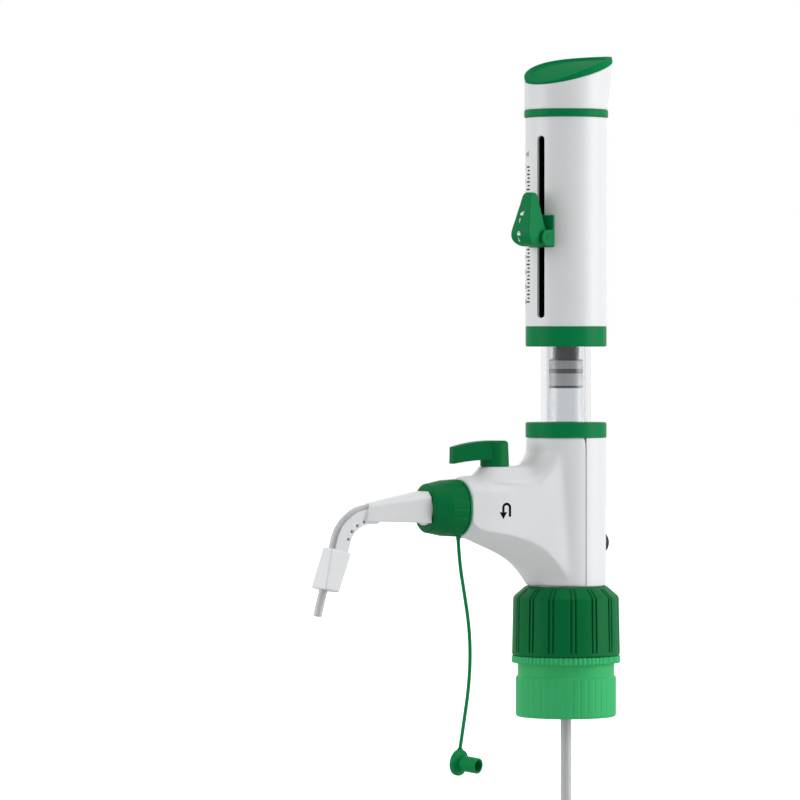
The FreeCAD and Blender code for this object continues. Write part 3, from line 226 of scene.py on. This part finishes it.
class Paint:
    """The node tree of a material, or of the world, with one method that adds its nodes."""

    def __init__(self, name, world=False):
        self.material = bpy.data.worlds.new(name) if world else bpy.data.materials.new(name)
        self.material.use_nodes = True
        self.tree = self.material.node_tree
        self.tree.nodes.clear()
        ends = ("OutputWorld", "Background") if world else ("OutputMaterial", "BsdfPrincipled")
        output, self.shader = (self.tree.nodes.new("ShaderNode" + end) for end in ends)
        self.tree.links.new(self.shader.outputs[0], output.inputs["Surface"])

    def feed(self, socket, value):
        if isinstance(value, Term):
            self.tree.links.new(value.socket, socket)
        elif isinstance(value, (int, float)) or socket.type != "RGBA":
            socket.default_value = value
        else:
            socket.default_value = (*value[:3], 1.0)

    def node(self, kind, settings=None, sockets=None, out=0):
        """Adds a node, makes its settings, then feeds its sockets."""
        node = self.tree.nodes.new(kind)
        for name, value in (settings or {}).items():
            setattr(node, name, value)
        for name, value in (sockets or {}).items():
            self.feed(node.inputs[name], value)
        return Term(self, node.outputs[out])

    def set(self, **values):
        for name, value in values.items():
            self.feed(self.shader.inputs[name.replace("_", " ")], value)
        return self

    def spot(self):
        return self.node("ShaderNodeTexCoord", out="Object")

    def noise(self, scale, detail=2.0, rough=0.5, at=None):
        sockets = {"Vector": at or self.spot(), "Scale": scale, "Detail": detail, "Roughness": rough}
        return self.node("ShaderNodeTexNoise", None, sockets)

    def height(self):
        """The Z of the object coordinates."""
        return self.node("ShaderNodeSeparateXYZ", None, {"Vector": self.spot()}, out="Z")

    def reach(self):
        """The distance from the upright axis."""
        sockets = {0: self.spot(), 1: (1.0, 1.0, 0.0)}
        level = self.node("ShaderNodeVectorMath", {"operation": "MULTIPLY"}, sockets)
        return self.node("ShaderNodeVectorMath", {"operation": "LENGTH"}, {0: level}, out="Value")

    def stretched(self, stretch):
        """Object coordinates scaled unevenly, for marks that run one way."""
        return self.node("ShaderNodeMapping", None, {"Vector": self.spot(), "Scale": stretch})

    def blend(self, factor, first, second):
        """Mixes two colours by a value."""
        return self.node("ShaderNodeMix", {"data_type": "RGBA"}, {0: factor, 6: first, 7: second}, out=2)

    def bump(self, height, strength, distance=0.00002):
        sockets = {"Height": height, "Strength": strength, "Distance": distance}
        return self.node("ShaderNodeBump", None, sockets)


def shade(colour, factor):
    return tuple(min(1.0, c * factor) for c in colour)


def moulded(name, colour, rough, grain, relief, ior=PLASTIC_IOR):
    """Injection moulded plastic: a fine skin, faint flow streaks and slightly uneven gloss."""
    paint = Paint(name)
    cloud = paint.noise(38.0, detail=3.0)
    streak = paint.noise(90.0, rough=0.6, at=paint.stretched((1.0, 1.0, 0.12)))
    skin = paint.noise(grain)
    mask = (cloud * 0.6 + streak * 0.4).clipped()
    tint = paint.blend(mask, shade(colour, 0.95), shade(colour, 1.05))
    gloss = cloud * 0.10 + streak * 0.06 + (rough - 0.08)
    normal = paint.bump(skin * 0.7 + streak * 0.3, relief)
    return paint.set(Base_Color=tint, Roughness=gloss, Normal=normal, IOR=ior)


def sleeve_plastic(name, colour, rough, grain, relief, bore):
    """The sleeve's plastic, with painted shade in its bore: the inner faces are coloured near black for the
    shadow inside the sleeve.
    """
    paint = moulded(name, colour, rough, grain, relief)
    skin = paint.shader.inputs["Base Color"].links[0].from_socket
    # Painted shade: near black inside the bore, for the shadow seen through the slot and under the sleeve.
    bore_shade = 1.0 - paint.reach().step(bore, bore + 0.0004)
    return paint.set(Base_Color=paint.blend(bore_shade, Term(paint, skin), (0.006, 0.006, 0.007)))


def clear(name, colour, rough, ior, weight):
    """Glass or a clear or milky tube, with faint draw waves along it."""
    paint = Paint(name)
    wave = paint.noise(60.0, detail=1.0, at=paint.stretched((1.0, 1.0, 0.2)))
    return paint.set(Base_Color=colour, Roughness=rough, IOR=ior, Transmission_Weight=weight,
                     Normal=paint.bump(wave, 0.02))


def stalk_plastic(name, skirt, stalk, change):
    """Glossy plastic, pale at the skirt, with painted shade above it: near black along the stalk, for the
    shadow and dark reflection seen there.
    """
    paint = Paint(name)
    # Painted shade: the stalk above the skirt is coloured near black.
    mask = paint.height().step(change, change + 0.0003)
    haze = paint.noise(300.0)
    return paint.set(Base_Color=paint.blend(mask, skirt, stalk), Roughness=haze * 0.10 + 0.16, IOR=1.22,
                     Normal=paint.bump(haze, 0.06))


def turned_metal(name, colour, rough):
    """Metal with fine lathe marks round its axis."""
    paint = Paint(name)
    marks = paint.noise(1.0, detail=4.0, rough=0.6, at=paint.stretched((60.0, 60.0, 9000.0)))
    smear = paint.noise(120.0)
    return paint.set(Base_Color=paint.blend(smear, shade(colour, 0.9), colour), Metallic=1.0,
                     Roughness=marks * 0.12 + (rough - 0.06),
                     Normal=paint.bump(marks, 0.15, distance=0.00001))


FINISHES = {}


def finish_of(slot):
    return FINISHES[slot].material


def make_finishes(context):
    shell, trim, tether = context.scene.shell_sizes, context.scene.trim_sizes, context.scene.tether_sizes
    white, ring = tuple(shell.white), tuple(trim.ring)
    mouldings = {  # colour, roughness, scale of the grain, relief of the skin, index of refraction
        "white_shell": (white, 0.36, 2400.0, 0.10),
        "trim_green": (ring, 0.36, 2600.0, 0.14, 1.16),
        "pad_green": (ring, 0.50, 2600.0, 0.10, 1.06),
        "nut_green": (tuple(trim.nut), 0.38, 2200.0, 0.18, 1.16),
        "adapter_green": (tuple(trim.adapter), 0.40, 2200.0, 0.18, 1.18),
        "cord_green": (tuple(tether.colour), 0.42, 3000.0, 0.10, 1.16),
        "fluoropolymer": ((0.78, 0.78, 0.76), 0.30, 3200.0, 0.05),
        "ceramic": ((0.82, 0.80, 0.74), 0.12, 4000.0, 0.02),
        "piston_white": ((0.92, 0.92, 0.91), 0.32, 3200.0, 0.05),
        "seal_grey": ((0.075, 0.075, 0.08), 0.40, 2600.0, 0.08),
        "grey_plastic": ((0.20, 0.205, 0.21), 0.42, 2600.0, 0.16),
        "dark_seal": ((0.012, 0.012, 0.013), 0.45, 2600.0, 0.10),
        "black_rubber": ((0.010, 0.010, 0.011), 0.62, 1800.0, 0.30),
        "black_print": ((0.004, 0.004, 0.004), 0.60, 2600.0, 0.08, 1.10),
        "seam_shade": ((0.11, 0.11, 0.115), 0.60, 2600.0, 0.08, 1.30),
        "white_print": ((0.80, 0.82, 0.81), 0.50, 2600.0, 0.08),
    }
    clears = {  # colour, roughness, index of refraction, share that passes through
        "clear_tube": ((0.90, 0.91, 0.92), 0.02, 1.38, 1.0),
        "glass": ((0.82, 0.832, 0.84), 0.03, 1.30, 0.985),
        "tube_film": ((0.76, 0.77, 0.78), 0.14, 1.42, 0.40),
    }
    metals = {  # colour, roughness
        "spring_wire": ((0.62, 0.60, 0.56), 0.22),
        "steel_rod": ((0.55, 0.56, 0.57), 0.24),
    }
    for finish, looks in ((moulded, mouldings), (clear, clears), (turned_metal, metals)):
        for slot, look in looks.items():
            FINISHES[slot] = finish(slot, *look)
    # The sleeve's finish carries the painted shade of its bore.
    FINISHES["sleeve_white"] = sleeve_plastic("sleeve_white", *mouldings["white_shell"], shell.bore_shade)
    # The piston stalk's near black is painted shade, standing in for the shadow and dark reflection seen
    # along it through the tubes.
    FINISHES["stalk_painted_shade"] = stalk_plastic(
        "stalk_painted_shade", skirt=(0.80, 0.80, 0.80), stalk=(0.004, 0.004, 0.005), change=0.1868)


# Shaping helpers

def dress(node, slot):
    """Gives a CAD node the finish of its slot."""
    for place in NODES[node].material_slots:
        place.material = finish_of(slot)


def piece_from(shape, name, body, slot, smooth=35.0):
    """Makes an object from a bmesh, with its finish, and lets it ride on a body."""
    mesh = bpy.data.meshes.new(name)
    for face in shape.faces:
        face.smooth = True
    limit = math.radians(smooth)
    for edge in shape.edges:
        if len(edge.link_faces) == 2 and edge.calc_face_angle(0.0) > limit:
            edge.smooth = False
    shape.to_mesh(mesh)
    shape.free()
    piece = bpy.data.objects.new(name, mesh)
    bpy.context.scene.collection.objects.link(piece)
    mesh.materials.append(finish_of(slot))
    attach(piece, body)
    return piece


def merged_copy(node):
    """A node's mesh with its loose triangles joined and its flat faces made whole."""
    shape = bmesh.new()
    shape.from_mesh(NODES[node].data)
    bmesh.ops.remove_doubles(shape, verts=shape.verts, dist=0.000002)
    bmesh.ops.dissolve_degenerate(shape, edges=shape.edges, dist=0.000001)
    bmesh.ops.dissolve_limit(shape, angle_limit=math.radians(0.6), verts=shape.verts, edges=shape.edges)
    return shape


def soften(node, slot, width=0.0, smooth=35.0, angle=40.0):
    """Replaces a node by its own shape with smooth faces and, given a width, rounded edges."""
    piece = piece_from(merged_copy(node), node + "_moulded", BODY_OF[node], slot, smooth)
    if width:
        bevel = piece.modifiers.new("edges", "BEVEL")
        bevel.width, bevel.segments, bevel.limit_method = width, 2, "ANGLE"
        bevel.angle_limit = math.radians(angle)
        bevel.use_clamp_overlap = False
    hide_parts(node)


def recast(shape, voxel):
    """Makes a closed mesh again from even, small faces, as a mould filled with plastic would be."""
    mesh = bpy.data.meshes.new("cast")
    shape.to_mesh(mesh)
    shape.free()
    holder = bpy.data.objects.new("cast", mesh)
    bpy.context.scene.collection.objects.link(holder)
    cast = holder.modifiers.new("cast", "REMESH")
    cast.mode, cast.voxel_size, cast.adaptivity = "VOXEL", voxel, 0.0
    made = bpy.data.meshes.new_from_object(holder.evaluated_get(bpy.context.evaluated_depsgraph_get()))
    bpy.data.objects.remove(holder)
    bpy.data.meshes.remove(mesh)
    again = bmesh.new()
    again.from_mesh(made)
    bpy.data.meshes.remove(made)
    return again


def mould(node, slot, voxel, rounds, factor=0.5):
    """Replaces a node by its own shape cast in small faces, with all edges eased."""
    piece = piece_from(recast(merged_copy(node), voxel), node + "_moulded", BODY_OF[node], slot, 80.0)
    ease = piece.modifiers.new("ease", "SMOOTH")
    ease.factor, ease.iterations = factor, rounds
    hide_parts(node)
    return piece


def open_creases(shape):
    """Points along the outer hollow creases of the front housing, clear of its seam and its nose."""
    seam, nose = 0.002, -0.060
    lift, pitch, hollow = 0.0003, 0.0008, math.radians(8.0)
    tree, points = BVHTree.FromBMesh(shape), []
    for edge in shape.edges:
        if len(edge.link_faces) != 2 or edge.calc_face_angle_signed(0.0) > -hollow:
            continue
        start, end = (vert.co for vert in edge.verts)
        middle = (start + end) / 2
        out = (edge.link_faces[0].normal + edge.link_faces[1].normal).normalized()
        covered = tree.ray_cast(middle + out * lift, out)[3] is not None
        if abs(middle.x) < seam or middle.x < nose or covered:
            continue
        steps = max(1, int((end - start).length / pitch))
        points += [start.lerp(end, step / steps) for step in range(steps + 1)]
    return points


def blended(node, slot, voxel, near, far, rounds):
    """Casts a node's shape in small faces and flows its outer hollow corners into soft fillets.

    The flow is full up to the distance near from a corner, and fades out at the distance far.
    """
    shape = merged_copy(node)
    points = open_creases(shape)
    lines = KDTree(len(points))
    for index, point in enumerate(points):
        lines.insert(point, index)
    lines.balance()
    piece = piece_from(recast(shape, voxel), node + "_moulded", BODY_OF[node], slot, 80.0)
    group = piece.vertex_groups.new(name="corners")
    for vert in piece.data.vertices:
        weight = min(1.0, (far - lines.find(vert.co)[2]) / (far - near))
        if weight > 0.0:
            group.add([vert.index], weight, "REPLACE")
    flow = piece.modifiers.new("flow", "SMOOTH")
    flow.factor, flow.iterations, flow.vertex_group = 0.5, rounds, group.name
    ease = piece.modifiers.new("ease", "SMOOTH")
    ease.factor, ease.iterations = 0.5, 2
    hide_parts(node)


def surface_of(node):
    """A search tree over a node's mesh, for laying prints on it."""
    shape = bmesh.new()
    shape.from_mesh(NODES[node].data)
    tree = BVHTree.FromBMesh(shape)
    shape.free()
    return tree


def lay_on(shape, node, direction):
    """Moves a flat print along a direction until it lies just proud of a node's surface."""
    tree, way = surface_of(node), Vector(direction).normalized()
    for vert in shape.verts:
        hit = tree.ray_cast(vert.co, way)[0]
        if hit is None:
            raise RuntimeError(f"a print misses {node}")
        vert.co = hit - way * PROUD


def wrap_round(shape, radius, angle, height, proud=PROUD):
    """Wraps a flat print, drawn as it reads from outside, round an upright cylinder at a height."""
    reach = radius + proud
    for vert in shape.verts:
        turn = angle + vert.co.x / radius
        vert.co = Vector((reach * math.cos(turn), reach * math.sin(turn), height + vert.co.y))


def lettering(text, size):
    """A figure as a flat bmesh of triangles, centred on its own middle."""
    font = bpy.data.curves.new("figure", "FONT")
    font.body, font.size, font.align_x, font.align_y = text, size, "CENTER", "CENTER"
    font.resolution_u = 3
    holder = bpy.data.objects.new("figure", font)
    mesh = bpy.data.meshes.new_from_object(holder)
    shape = bmesh.new()
    shape.from_mesh(mesh)
    bpy.data.meshes.remove(mesh)
    bpy.data.objects.remove(holder)
    bpy.data.curves.remove(font)
    bmesh.ops.triangulate(shape, faces=shape.faces)
    return shape


def bar(shape, low, high):
    """Adds a flat rectangle between two corners in X and Y, in a few strips so that it can bend."""
    made = bmesh.ops.create_grid(shape, x_segments=6, y_segments=1, size=0.5)
    middle, size = (Vector(low) + Vector(high)) / 2, Vector(high) - Vector(low)
    bmesh.ops.scale(shape, verts=made["verts"], vec=(size.x, size.y, 1.0))
    bmesh.ops.translate(shape, verts=made["verts"], vec=(middle.x, middle.y, 0.0))


def arch(shape, centre, radius, width, steps):
    """Adds the flat upper half of a ring, drawn by spinning its short edge."""
    x, y = centre
    ends = [shape.verts.new((x + (radius + side * width / 2), y, 0.0)) for side in (-1, 1)]
    edge = shape.edges.new(ends)
    bmesh.ops.spin(shape, geom=ends + [edge], cent=(x, y, 0.0), axis=(0.0, 0.0, 1.0),
                   angle=math.pi, steps=steps, use_merge=False)


def arrowhead(shape, tip, size, direction):
    """Adds a flat triangle with its tip at a place."""
    made = bmesh.ops.create_circle(shape, cap_ends=True, segments=3, radius=size)
    spin = Matrix.Rotation(direction, 3, "Z") @ Matrix.Rotation(-math.pi / 2, 3, "Z")
    bmesh.ops.rotate(shape, verts=made["verts"], cent=(0, 0, 0), matrix=spin)
    back = Vector((math.cos(direction), math.sin(direction), 0.0)) * size
    bmesh.ops.translate(shape, verts=made["verts"], vec=Vector((tip[0], tip[1], 0.0)) - back)


def add_in(target, shape):
    """Joins one bmesh into another and frees it."""
    mesh = bpy.data.meshes.new("part")
    shape.to_mesh(mesh)
    shape.free()
    target.from_mesh(mesh)
    bpy.data.meshes.remove(mesh)


def thicken(shape, depth=FILM):
    """Gives a print its film thickness, so that it is a closed body with its faces outward."""
    bmesh.ops.recalc_face_normals(shape, faces=shape.faces)
    bmesh.ops.solidify(shape, geom=shape.faces[:], thickness=depth)
    bmesh.ops.recalc_face_normals(shape, faces=shape.faces)


class DispenserOperator:
    """What the operators share."""
    bl_options = {"REGISTER", "UNDO"}


class MakeCamera(DispenserOperator, bpy.types.Operator):
    """Places the camera that sees the dispenser as the photograph does"""
    bl_idname = "dispenser.camera"
    bl_label = "Camera"

    def execute(self, context):
        data = bpy.data.cameras.new("camera")
        data.lens = context.scene.stage_sizes.lens
        data.sensor_width = 36.0
        data.clip_start, data.clip_end = 0.1, 50.0
        camera = bpy.data.objects.new("camera", data)
        context.scene.collection.objects.link(camera)
        camera.location = CAMERA_PLACE
        camera.rotation_mode = "QUATERNION"
        camera.rotation_quaternion = (Vector(CAMERA_AIM) - camera.location).to_track_quat("-Z", "Y")
        context.scene.camera = camera
        return {"FINISHED"}


class MakeTether(DispenserOperator, bpy.types.Operator):
    """Hangs the cord with its closure cap from the ring behind the nozzle nut"""
    bl_idname = "dispenser.tether"
    bl_label = "Tether"

    def execute(self, context):
        sizes = context.scene.tether_sizes
        route = [tuple(value * MM for value in place) for place in TETHER_ROUTE]
        curve = bpy.data.curves.new("tether_line", "CURVE")
        curve.dimensions = "3D"
        spline = curve.splines.new("NURBS")
        spline.points.add(len(route) - 1)
        for point, place in zip(spline.points, route):
            point.co = (*place, 1.0)
        spline.order_u = 3
        spline.use_endpoint_u = True
        spline.resolution_u = 12
        curve.bevel_depth = sizes.diameter / 2
        curve.bevel_resolution = 5
        curve.use_fill_caps = True
        cord = bpy.data.objects.new("tether_line", curve)
        context.scene.collection.objects.link(cord)
        curve.materials.append(finish_of("cord_green"))
        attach(cord, "head")
        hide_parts("tether_cord")
        cap = mould("closure_cap", "cord_green", voxel=0.00028, rounds=3)
        soften("tether_ring", "cord_green", width=0.00015)
        return {"FINISHED"}


class MakeBottleEnd(DispenserOperator, bpy.types.Operator):
    """Adapter with its gasket and the clamping collar"""
    bl_idname = "dispenser.bottle_end"
    bl_label = "Adapter and collar"

    def execute(self, context):
        mould("bottle_adapter", "adapter_green", voxel=0.00049, rounds=1, factor=0.25)
        soften("collar_nut", "nut_green", width=0.00026, smooth=30.0, angle=22.0)
        dress("neck_gasket", "fluoropolymer")
        return {"FINISHED"}


class MakeHousing(DispenserOperator, bpy.types.Operator):
    """White housing halves, their green ring and the vent plug"""
    bl_idname = "dispenser.housing"
    bl_label = "Housing"

    def execute(self, context):
        edge = context.scene.shell_sizes.edge
        blended("front_housing", "white_shell", voxel=0.00060, near=0.0020, far=0.0075, rounds=60)
        soften("rear_housing", "white_shell", edge)
        self.seams(context.scene.shell_sizes.seam)
        soften("housing_ring", "trim_green", context.scene.trim_sizes.edge)
        soften("vent_plug", "black_rubber", width=0.0002)
        return {"FINISHED"}

    def seams(self, width):
        """Painted shade for the gap in the joint between the halves: a dark strip down both sides of the
        barrel.
        """
        low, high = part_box("rear_housing")
        raised, proud, film = 0.0008, 0.00003, 0.00001
        radius, foot, top = high[1], low[2] + raised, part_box("housing_ring")[0][2]
        lines = bmesh.new()
        for side in (-1, 1):
            line = bmesh.new()
            bar(line, (-width / 2, 0.0), (width / 2, top - foot))
            wrap_round(line, radius, side * math.pi / 2, foot, proud)
            add_in(lines, line)
        thicken(lines, film)
        piece_from(lines, "housing_seam", "head", "seam_shade")


class MakeFluidPath(DispenserOperator, bpy.types.Operator):
    """Valve block, ball valves, tubes, cylinder and piston"""
    bl_idname = "dispenser.fluid_path"
    bl_label = "Fluid path"

    def execute(self, context):
        slots = {"valve_block": "fluoropolymer", "suction_valve": "fluoropolymer", "suction_ball": "ceramic",
                 "discharge_ball": "ceramic", "discharge_spring": "spring_wire",
                 "valve_spindle": "fluoropolymer", "piston_face": "seal_grey", "piston_head": "piston_white",
                 "piston_seal": "seal_grey", "piston_stalk": "stalk_painted_shade", "piston_rod": "steel_rod",
                 "rod_nut": "steel_rod", "stroke_stop": "grey_plastic", "glass_cylinder": "glass",
                 "jacket_tube": "clear_tube", "filling_tube": "tube_film", "filling_tube_lower": "tube_film",
                 "return_tube": "tube_film"}
        for node, slot in slots.items():
            soften(node, slot)
        return {"FINISHED"}


class MakeSpout(DispenserOperator, bpy.types.Operator):
    """Spout holder, its clip and the discharge tube"""
    bl_idname = "dispenser.spout"
    bl_label = "Spout"

    def execute(self, context):
        mould("spout_holder", "white_shell", voxel=0.00040, rounds=3)
        mould("tube_clip", "white_shell", voxel=0.00040, rounds=9)
        soften("discharge_tube", "tube_film")
        return {"FINISHED"}


class MakeTap(DispenserOperator, bpy.types.Operator):
    """Nozzle nut and valve lever"""
    bl_idname = "dispenser.tap"
    bl_label = "Nozzle nut and valve lever"

    def execute(self, context):
        mould("nozzle_nut", "nut_green", voxel=0.00026, rounds=1)
        mould("valve_lever", "nut_green", voxel=0.00028, rounds=4)
        return {"FINISHED"}


class MakeHandle(DispenserOperator, bpy.types.Operator):
    """Sleeve, its rings, the cap and the thumb pad"""
    bl_idname = "dispenser.handle"
    bl_label = "Handle"

    def execute(self, context):
        edge = context.scene.trim_sizes.edge
        soften("handle_sleeve", "sleeve_white", context.scene.shell_sizes.edge)
        soften("sleeve_base_ring", "trim_green", edge)
        soften("sleeve_top_ring", "trim_green", edge)
        mould("top_cap", "white_shell", voxel=0.00050, rounds=2)
        mould("thumb_pad", "pad_green", voxel=0.00036, rounds=5)
        return {"FINISHED"}


class MakeAdjuster(DispenserOperator, bpy.types.Operator):
    """Volume adjuster with its lock lever"""
    bl_idname = "dispenser.adjuster"
    bl_label = "Adjuster"

    def execute(self, context):
        mould("adjuster_base", "trim_green", voxel=0.00030, rounds=3)
        soften("stop_block", "grey_plastic")
        soften("lever_pin", "trim_green", width=0.0002)
        mould("lock_lever", "trim_green", voxel=0.00030, rounds=10)
        return {"FINISHED"}


class MakeScale(DispenserOperator, bpy.types.Operator):
    """Volume scale beside the slot, with ticks at half millilitres and figures at even millilitres"""
    bl_idname = "dispenser.scale"
    bl_label = "Scale"

    def execute(self, context):
        sizes = context.scene.scale_sizes
        low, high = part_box("handle_sleeve")
        radius = (high[0] - low[0]) / 2
        five, one, half, thick = 0.0044, 0.0037, 0.0026, 0.00076  # lengths of the ticks and their thickness
        figure_size, figure_out = 0.0036, 0.0068
        unit_size, unit_out, unit_down = 0.0044, 0.0030, 0.0010
        whole = bmesh.new()
        for step in range(2 * sizes.first, 2 * sizes.full + 1):
            height = sizes.top - step * sizes.pitch / 2
            length = five if step % 10 == 0 else one if step % 2 == 0 else half
            tick = bmesh.new()
            bar(tick, (-length, -thick / 2), (0.0, thick / 2))
            wrap_round(tick, radius, sizes.angle, height)
            add_in(whole, tick)
            if step % 4 == 0:
                figure = lettering(str(step // 2), figure_size)
                wrap_round(figure, radius, sizes.angle - figure_out / radius, height)
                add_in(whole, figure)
        unit = lettering("ml", unit_size)
        wrap_round(unit, radius, sizes.angle - unit_out / radius, sizes.top - unit_down)
        add_in(whole, unit)
        thicken(whole)
        piece_from(whole, "volume_scale", "handle", "black_print")
        return {"FINISHED"}


class MakeMarks(DispenserOperator, bpy.types.Operator):
    """Return arrow on the arm and the lock signs on the lever"""
    bl_idname = "dispenser.marks"
    bl_label = "Marks"

    def execute(self, context):
        self.return_arrow()
        self.lock_signs()
        return {"FINISHED"}

    def return_arrow(self):
        """An arrow that turns back down over an arch."""
        wide, line, head = 0.0019, 0.0013, 0.0024
        base, foot, tip = 0.0014, -0.0034, -0.0046
        gap = 0.00001  # keeps the walls of neighbouring shapes apart
        arrow = bmesh.new()
        arch(arrow, (0.0, base), wide, line, steps=14)
        bar(arrow, (wide - line / 2, foot), (wide + line / 2, base - gap))
        bar(arrow, (-wide - line / 2, tip + 1.5 * head + gap), (-wide + line / 2, base - gap))
        arrowhead(arrow, (-wide, tip), head, -math.pi / 2)
        bmesh.ops.subdivide_edges(arrow, edges=arrow.edges, cuts=1, use_grid_fill=True)
        upright = Matrix.Rotation(math.pi / 2, 3, "X")
        before_arm = (-0.0447, -0.05, 0.1094)
        bmesh.ops.rotate(arrow, verts=arrow.verts, cent=(0, 0, 0), matrix=upright)
        bmesh.ops.translate(arrow, verts=arrow.verts, vec=before_arm)
        lay_on(arrow, "front_housing", (0, 1, 0))
        thicken(arrow)
        piece_from(arrow, "return_arrow", "head", "black_print")

    def lock_signs(self):
        """An open padlock with an arrow up over a closed one with an arrow down."""
        signs = bmesh.new()
        self.padlock(signs, height=0.0159, shift=0.0006)
        self.arrow(signs, foot=0.0112, tip=0.0137)
        self.padlock(signs, height=0.0054, shift=0.0)
        self.arrow(signs, foot=0.0037, tip=0.0012)
        turn = Matrix.Rotation(HANDLE_TURN, 3, "Z")
        stand = Matrix(((0, 0, 1), (-1, 0, 0), (0, 1, 0)))
        before_lever = turn @ Vector((-0.05, 0.0008, 0.0)) + Vector((0.0, 0.0, 0.2475))
        bmesh.ops.rotate(signs, verts=signs.verts, cent=(0, 0, 0), matrix=turn @ stand)
        bmesh.ops.translate(signs, verts=signs.verts, vec=before_lever)
        lay_on(signs, "lock_lever", turn @ Vector((1, 0, 0)))
        thicken(signs)
        piece_from(signs, "lock_signs", "lock_lever", "white_print")

    def padlock(self, shape, height, shift):
        """A small padlock, with its shackle shifted aside when it is open."""
        half, top, bottom = 0.0010, height + 0.0006, height - 0.0008
        bar(shape, (-half, bottom), (half, top))
        arch(shape, (shift, top), radius=0.00065, width=0.0003, steps=8)

    def arrow(self, shape, foot, tip):
        """A small upright arrow."""
        middle, half, head = -0.0006, 0.00015, 0.0007
        way = math.copysign(1.0, tip - foot)
        back = tip - way * 1.5 * head
        arrowhead(shape, (middle, tip), head, way * math.pi / 2)
        bar(shape, (middle - half, min(foot, back)), (middle + half, max(foot, back)))


class MakeStage(DispenserOperator, bpy.types.Operator):
    """Pale floor, soft lamps and an even white sky"""
    bl_idname = "dispenser.stage"
    bl_label = "Stage"

    def execute(self, context):
        sizes = context.scene.stage_sizes
        self.floor(context, sizes)
        self.lamp(context, "key", sizes.key_power, place=(1.35, 0.25, 0.20), size=(0.9, 1.3))
        self.lamp(context, "fill", sizes.fill_power, place=(-1.30, 0.45, 0.20), size=(0.7, 1.3))
        self.lamp(context, "top", sizes.top_power, place=(0.2, 0.3, 1.5), size=(0.9, 0.9))
        self.sky(context, sizes)
        context.scene.view_settings.view_transform = "Standard"
        return {"FINISHED"}

    def floor(self, context, sizes):
        """A matt floor just under the lowest point, grey near the dispenser and white further out."""
        gap, clear_from, clear_to = 0.0005, 0.3, 1.6
        shape = bmesh.new()
        bmesh.ops.create_grid(shape, x_segments=1, y_segments=1, size=sizes.floor_size / 2)
        bmesh.ops.translate(shape, verts=shape.verts, vec=(0.0, 0.0, CAD_BOX[0][2] - gap))
        mesh = bpy.data.meshes.new("floor")
        shape.to_mesh(mesh)
        shape.free()
        floor = bpy.data.objects.new("floor", mesh)
        context.scene.collection.objects.link(floor)
        paint = Paint("floor_paint")
        seen = paint.node("ShaderNodeLightPath", out="Is Camera Ray")
        far = paint.reach().step(clear_from, clear_to)
        glow = seen * (far * (1.0 - sizes.floor_glow) + sizes.floor_glow)
        grain = paint.noise(14.0, detail=3.0) * 0.02 + (sizes.floor_tone - 0.01)
        paint.set(Base_Color=grain, Roughness=0.9, Emission_Color=glow, Emission_Strength=1.0)
        mesh.materials.append(paint.material)

    def lamp(self, context, name, power, place, size):
        """An area lamp, placed to the right of what it aims at, toward the camera and up."""
        data = bpy.data.lights.new(name, "AREA")
        data.shape, data.size, data.size_y, data.energy = "RECTANGLE", size[0], size[1], power
        lamp = bpy.data.objects.new(name, data)
        context.scene.collection.objects.link(lamp)
        aim, (right, near, up) = Vector(LAMP_AIM), place
        lamp.location = aim + Vector(RIGHT) * right + Vector(NEAR) * near + Vector((0.0, 0.0, up))
        lamp.rotation_mode = "QUATERNION"
        lamp.rotation_quaternion = (aim - lamp.location).to_track_quat("-Z", "Y")

    def sky(self, context, sizes):
        """White where it is seen, dimmer toward the camera's side, so that pale pieces keep a shade."""
        dim_from, dim_to = -0.2, 0.9  # how nearly a direction points at the camera
        paint = Paint("sky", world=True)
        camera = paint.node("ShaderNodeLightPath", out="Is Camera Ray")
        through = paint.node("ShaderNodeLightPath", out="Is Transmission Ray")
        way = paint.node("ShaderNodeTexCoord", out="Generated")
        dot = {"operation": "DOT_PRODUCT"}
        near = paint.node("ShaderNodeVectorMath", dot, {0: way, 1: NEAR}, out="Value")
        lit = sizes.sky * (1.0 - near.step(dim_from, dim_to) * sizes.front_shade)
        seen = camera.math("MAXIMUM", camera, through)
        paint.set(Color=(1.0, 1.0, 1.0), Strength=lit + seen * (1.0 - lit))
        context.scene.world = paint.material


class DispenserPanel(bpy.types.Panel):
    """Lists the dispenser's pieces and the stage"""
    bl_idname = "VIEW3D_PT_dispenser"
    bl_label = "Dispenser"
    bl_space_type = "VIEW_3D"
    bl_region_type = "UI"
    bl_category = "Dispenser"

    def draw(self, context):
        for maker in MAKERS:
            self.layout.operator(maker.bl_idname)


SIZES = {"stage_sizes": StageSizes, "shell_sizes": ShellSizes, "trim_sizes": TrimSizes,
         "tether_sizes": TetherSizes, "scale_sizes": ScaleSizes}
MAKERS = [MakeCamera, MakeTether, MakeBottleEnd, MakeHousing, MakeFluidPath, MakeSpout, MakeTap, MakeHandle,
          MakeAdjuster, MakeScale, MakeMarks, MakeStage]


def register():
    for name, sizes in SIZES.items():
        bpy.utils.register_class(sizes)
        setattr(bpy.types.Scene, name, PointerProperty(type=sizes))
    for maker in MAKERS + [DispenserPanel]:
        bpy.utils.register_class(maker)


def unregister():
    for maker in reversed(MAKERS + [DispenserPanel]):
        bpy.utils.unregister_class(maker)
    for name, sizes in SIZES.items():
        delattr(bpy.types.Scene, name)
        bpy.utils.unregister_class(sizes)


def main():
    register()
    make_finishes(bpy.context)
    for maker in MAKERS:
        group, step = maker.bl_idname.split(".")
        getattr(getattr(bpy.ops, group), step)()
    bpy.context.view_layer.update()


if __name__ == "__main__":
    main()
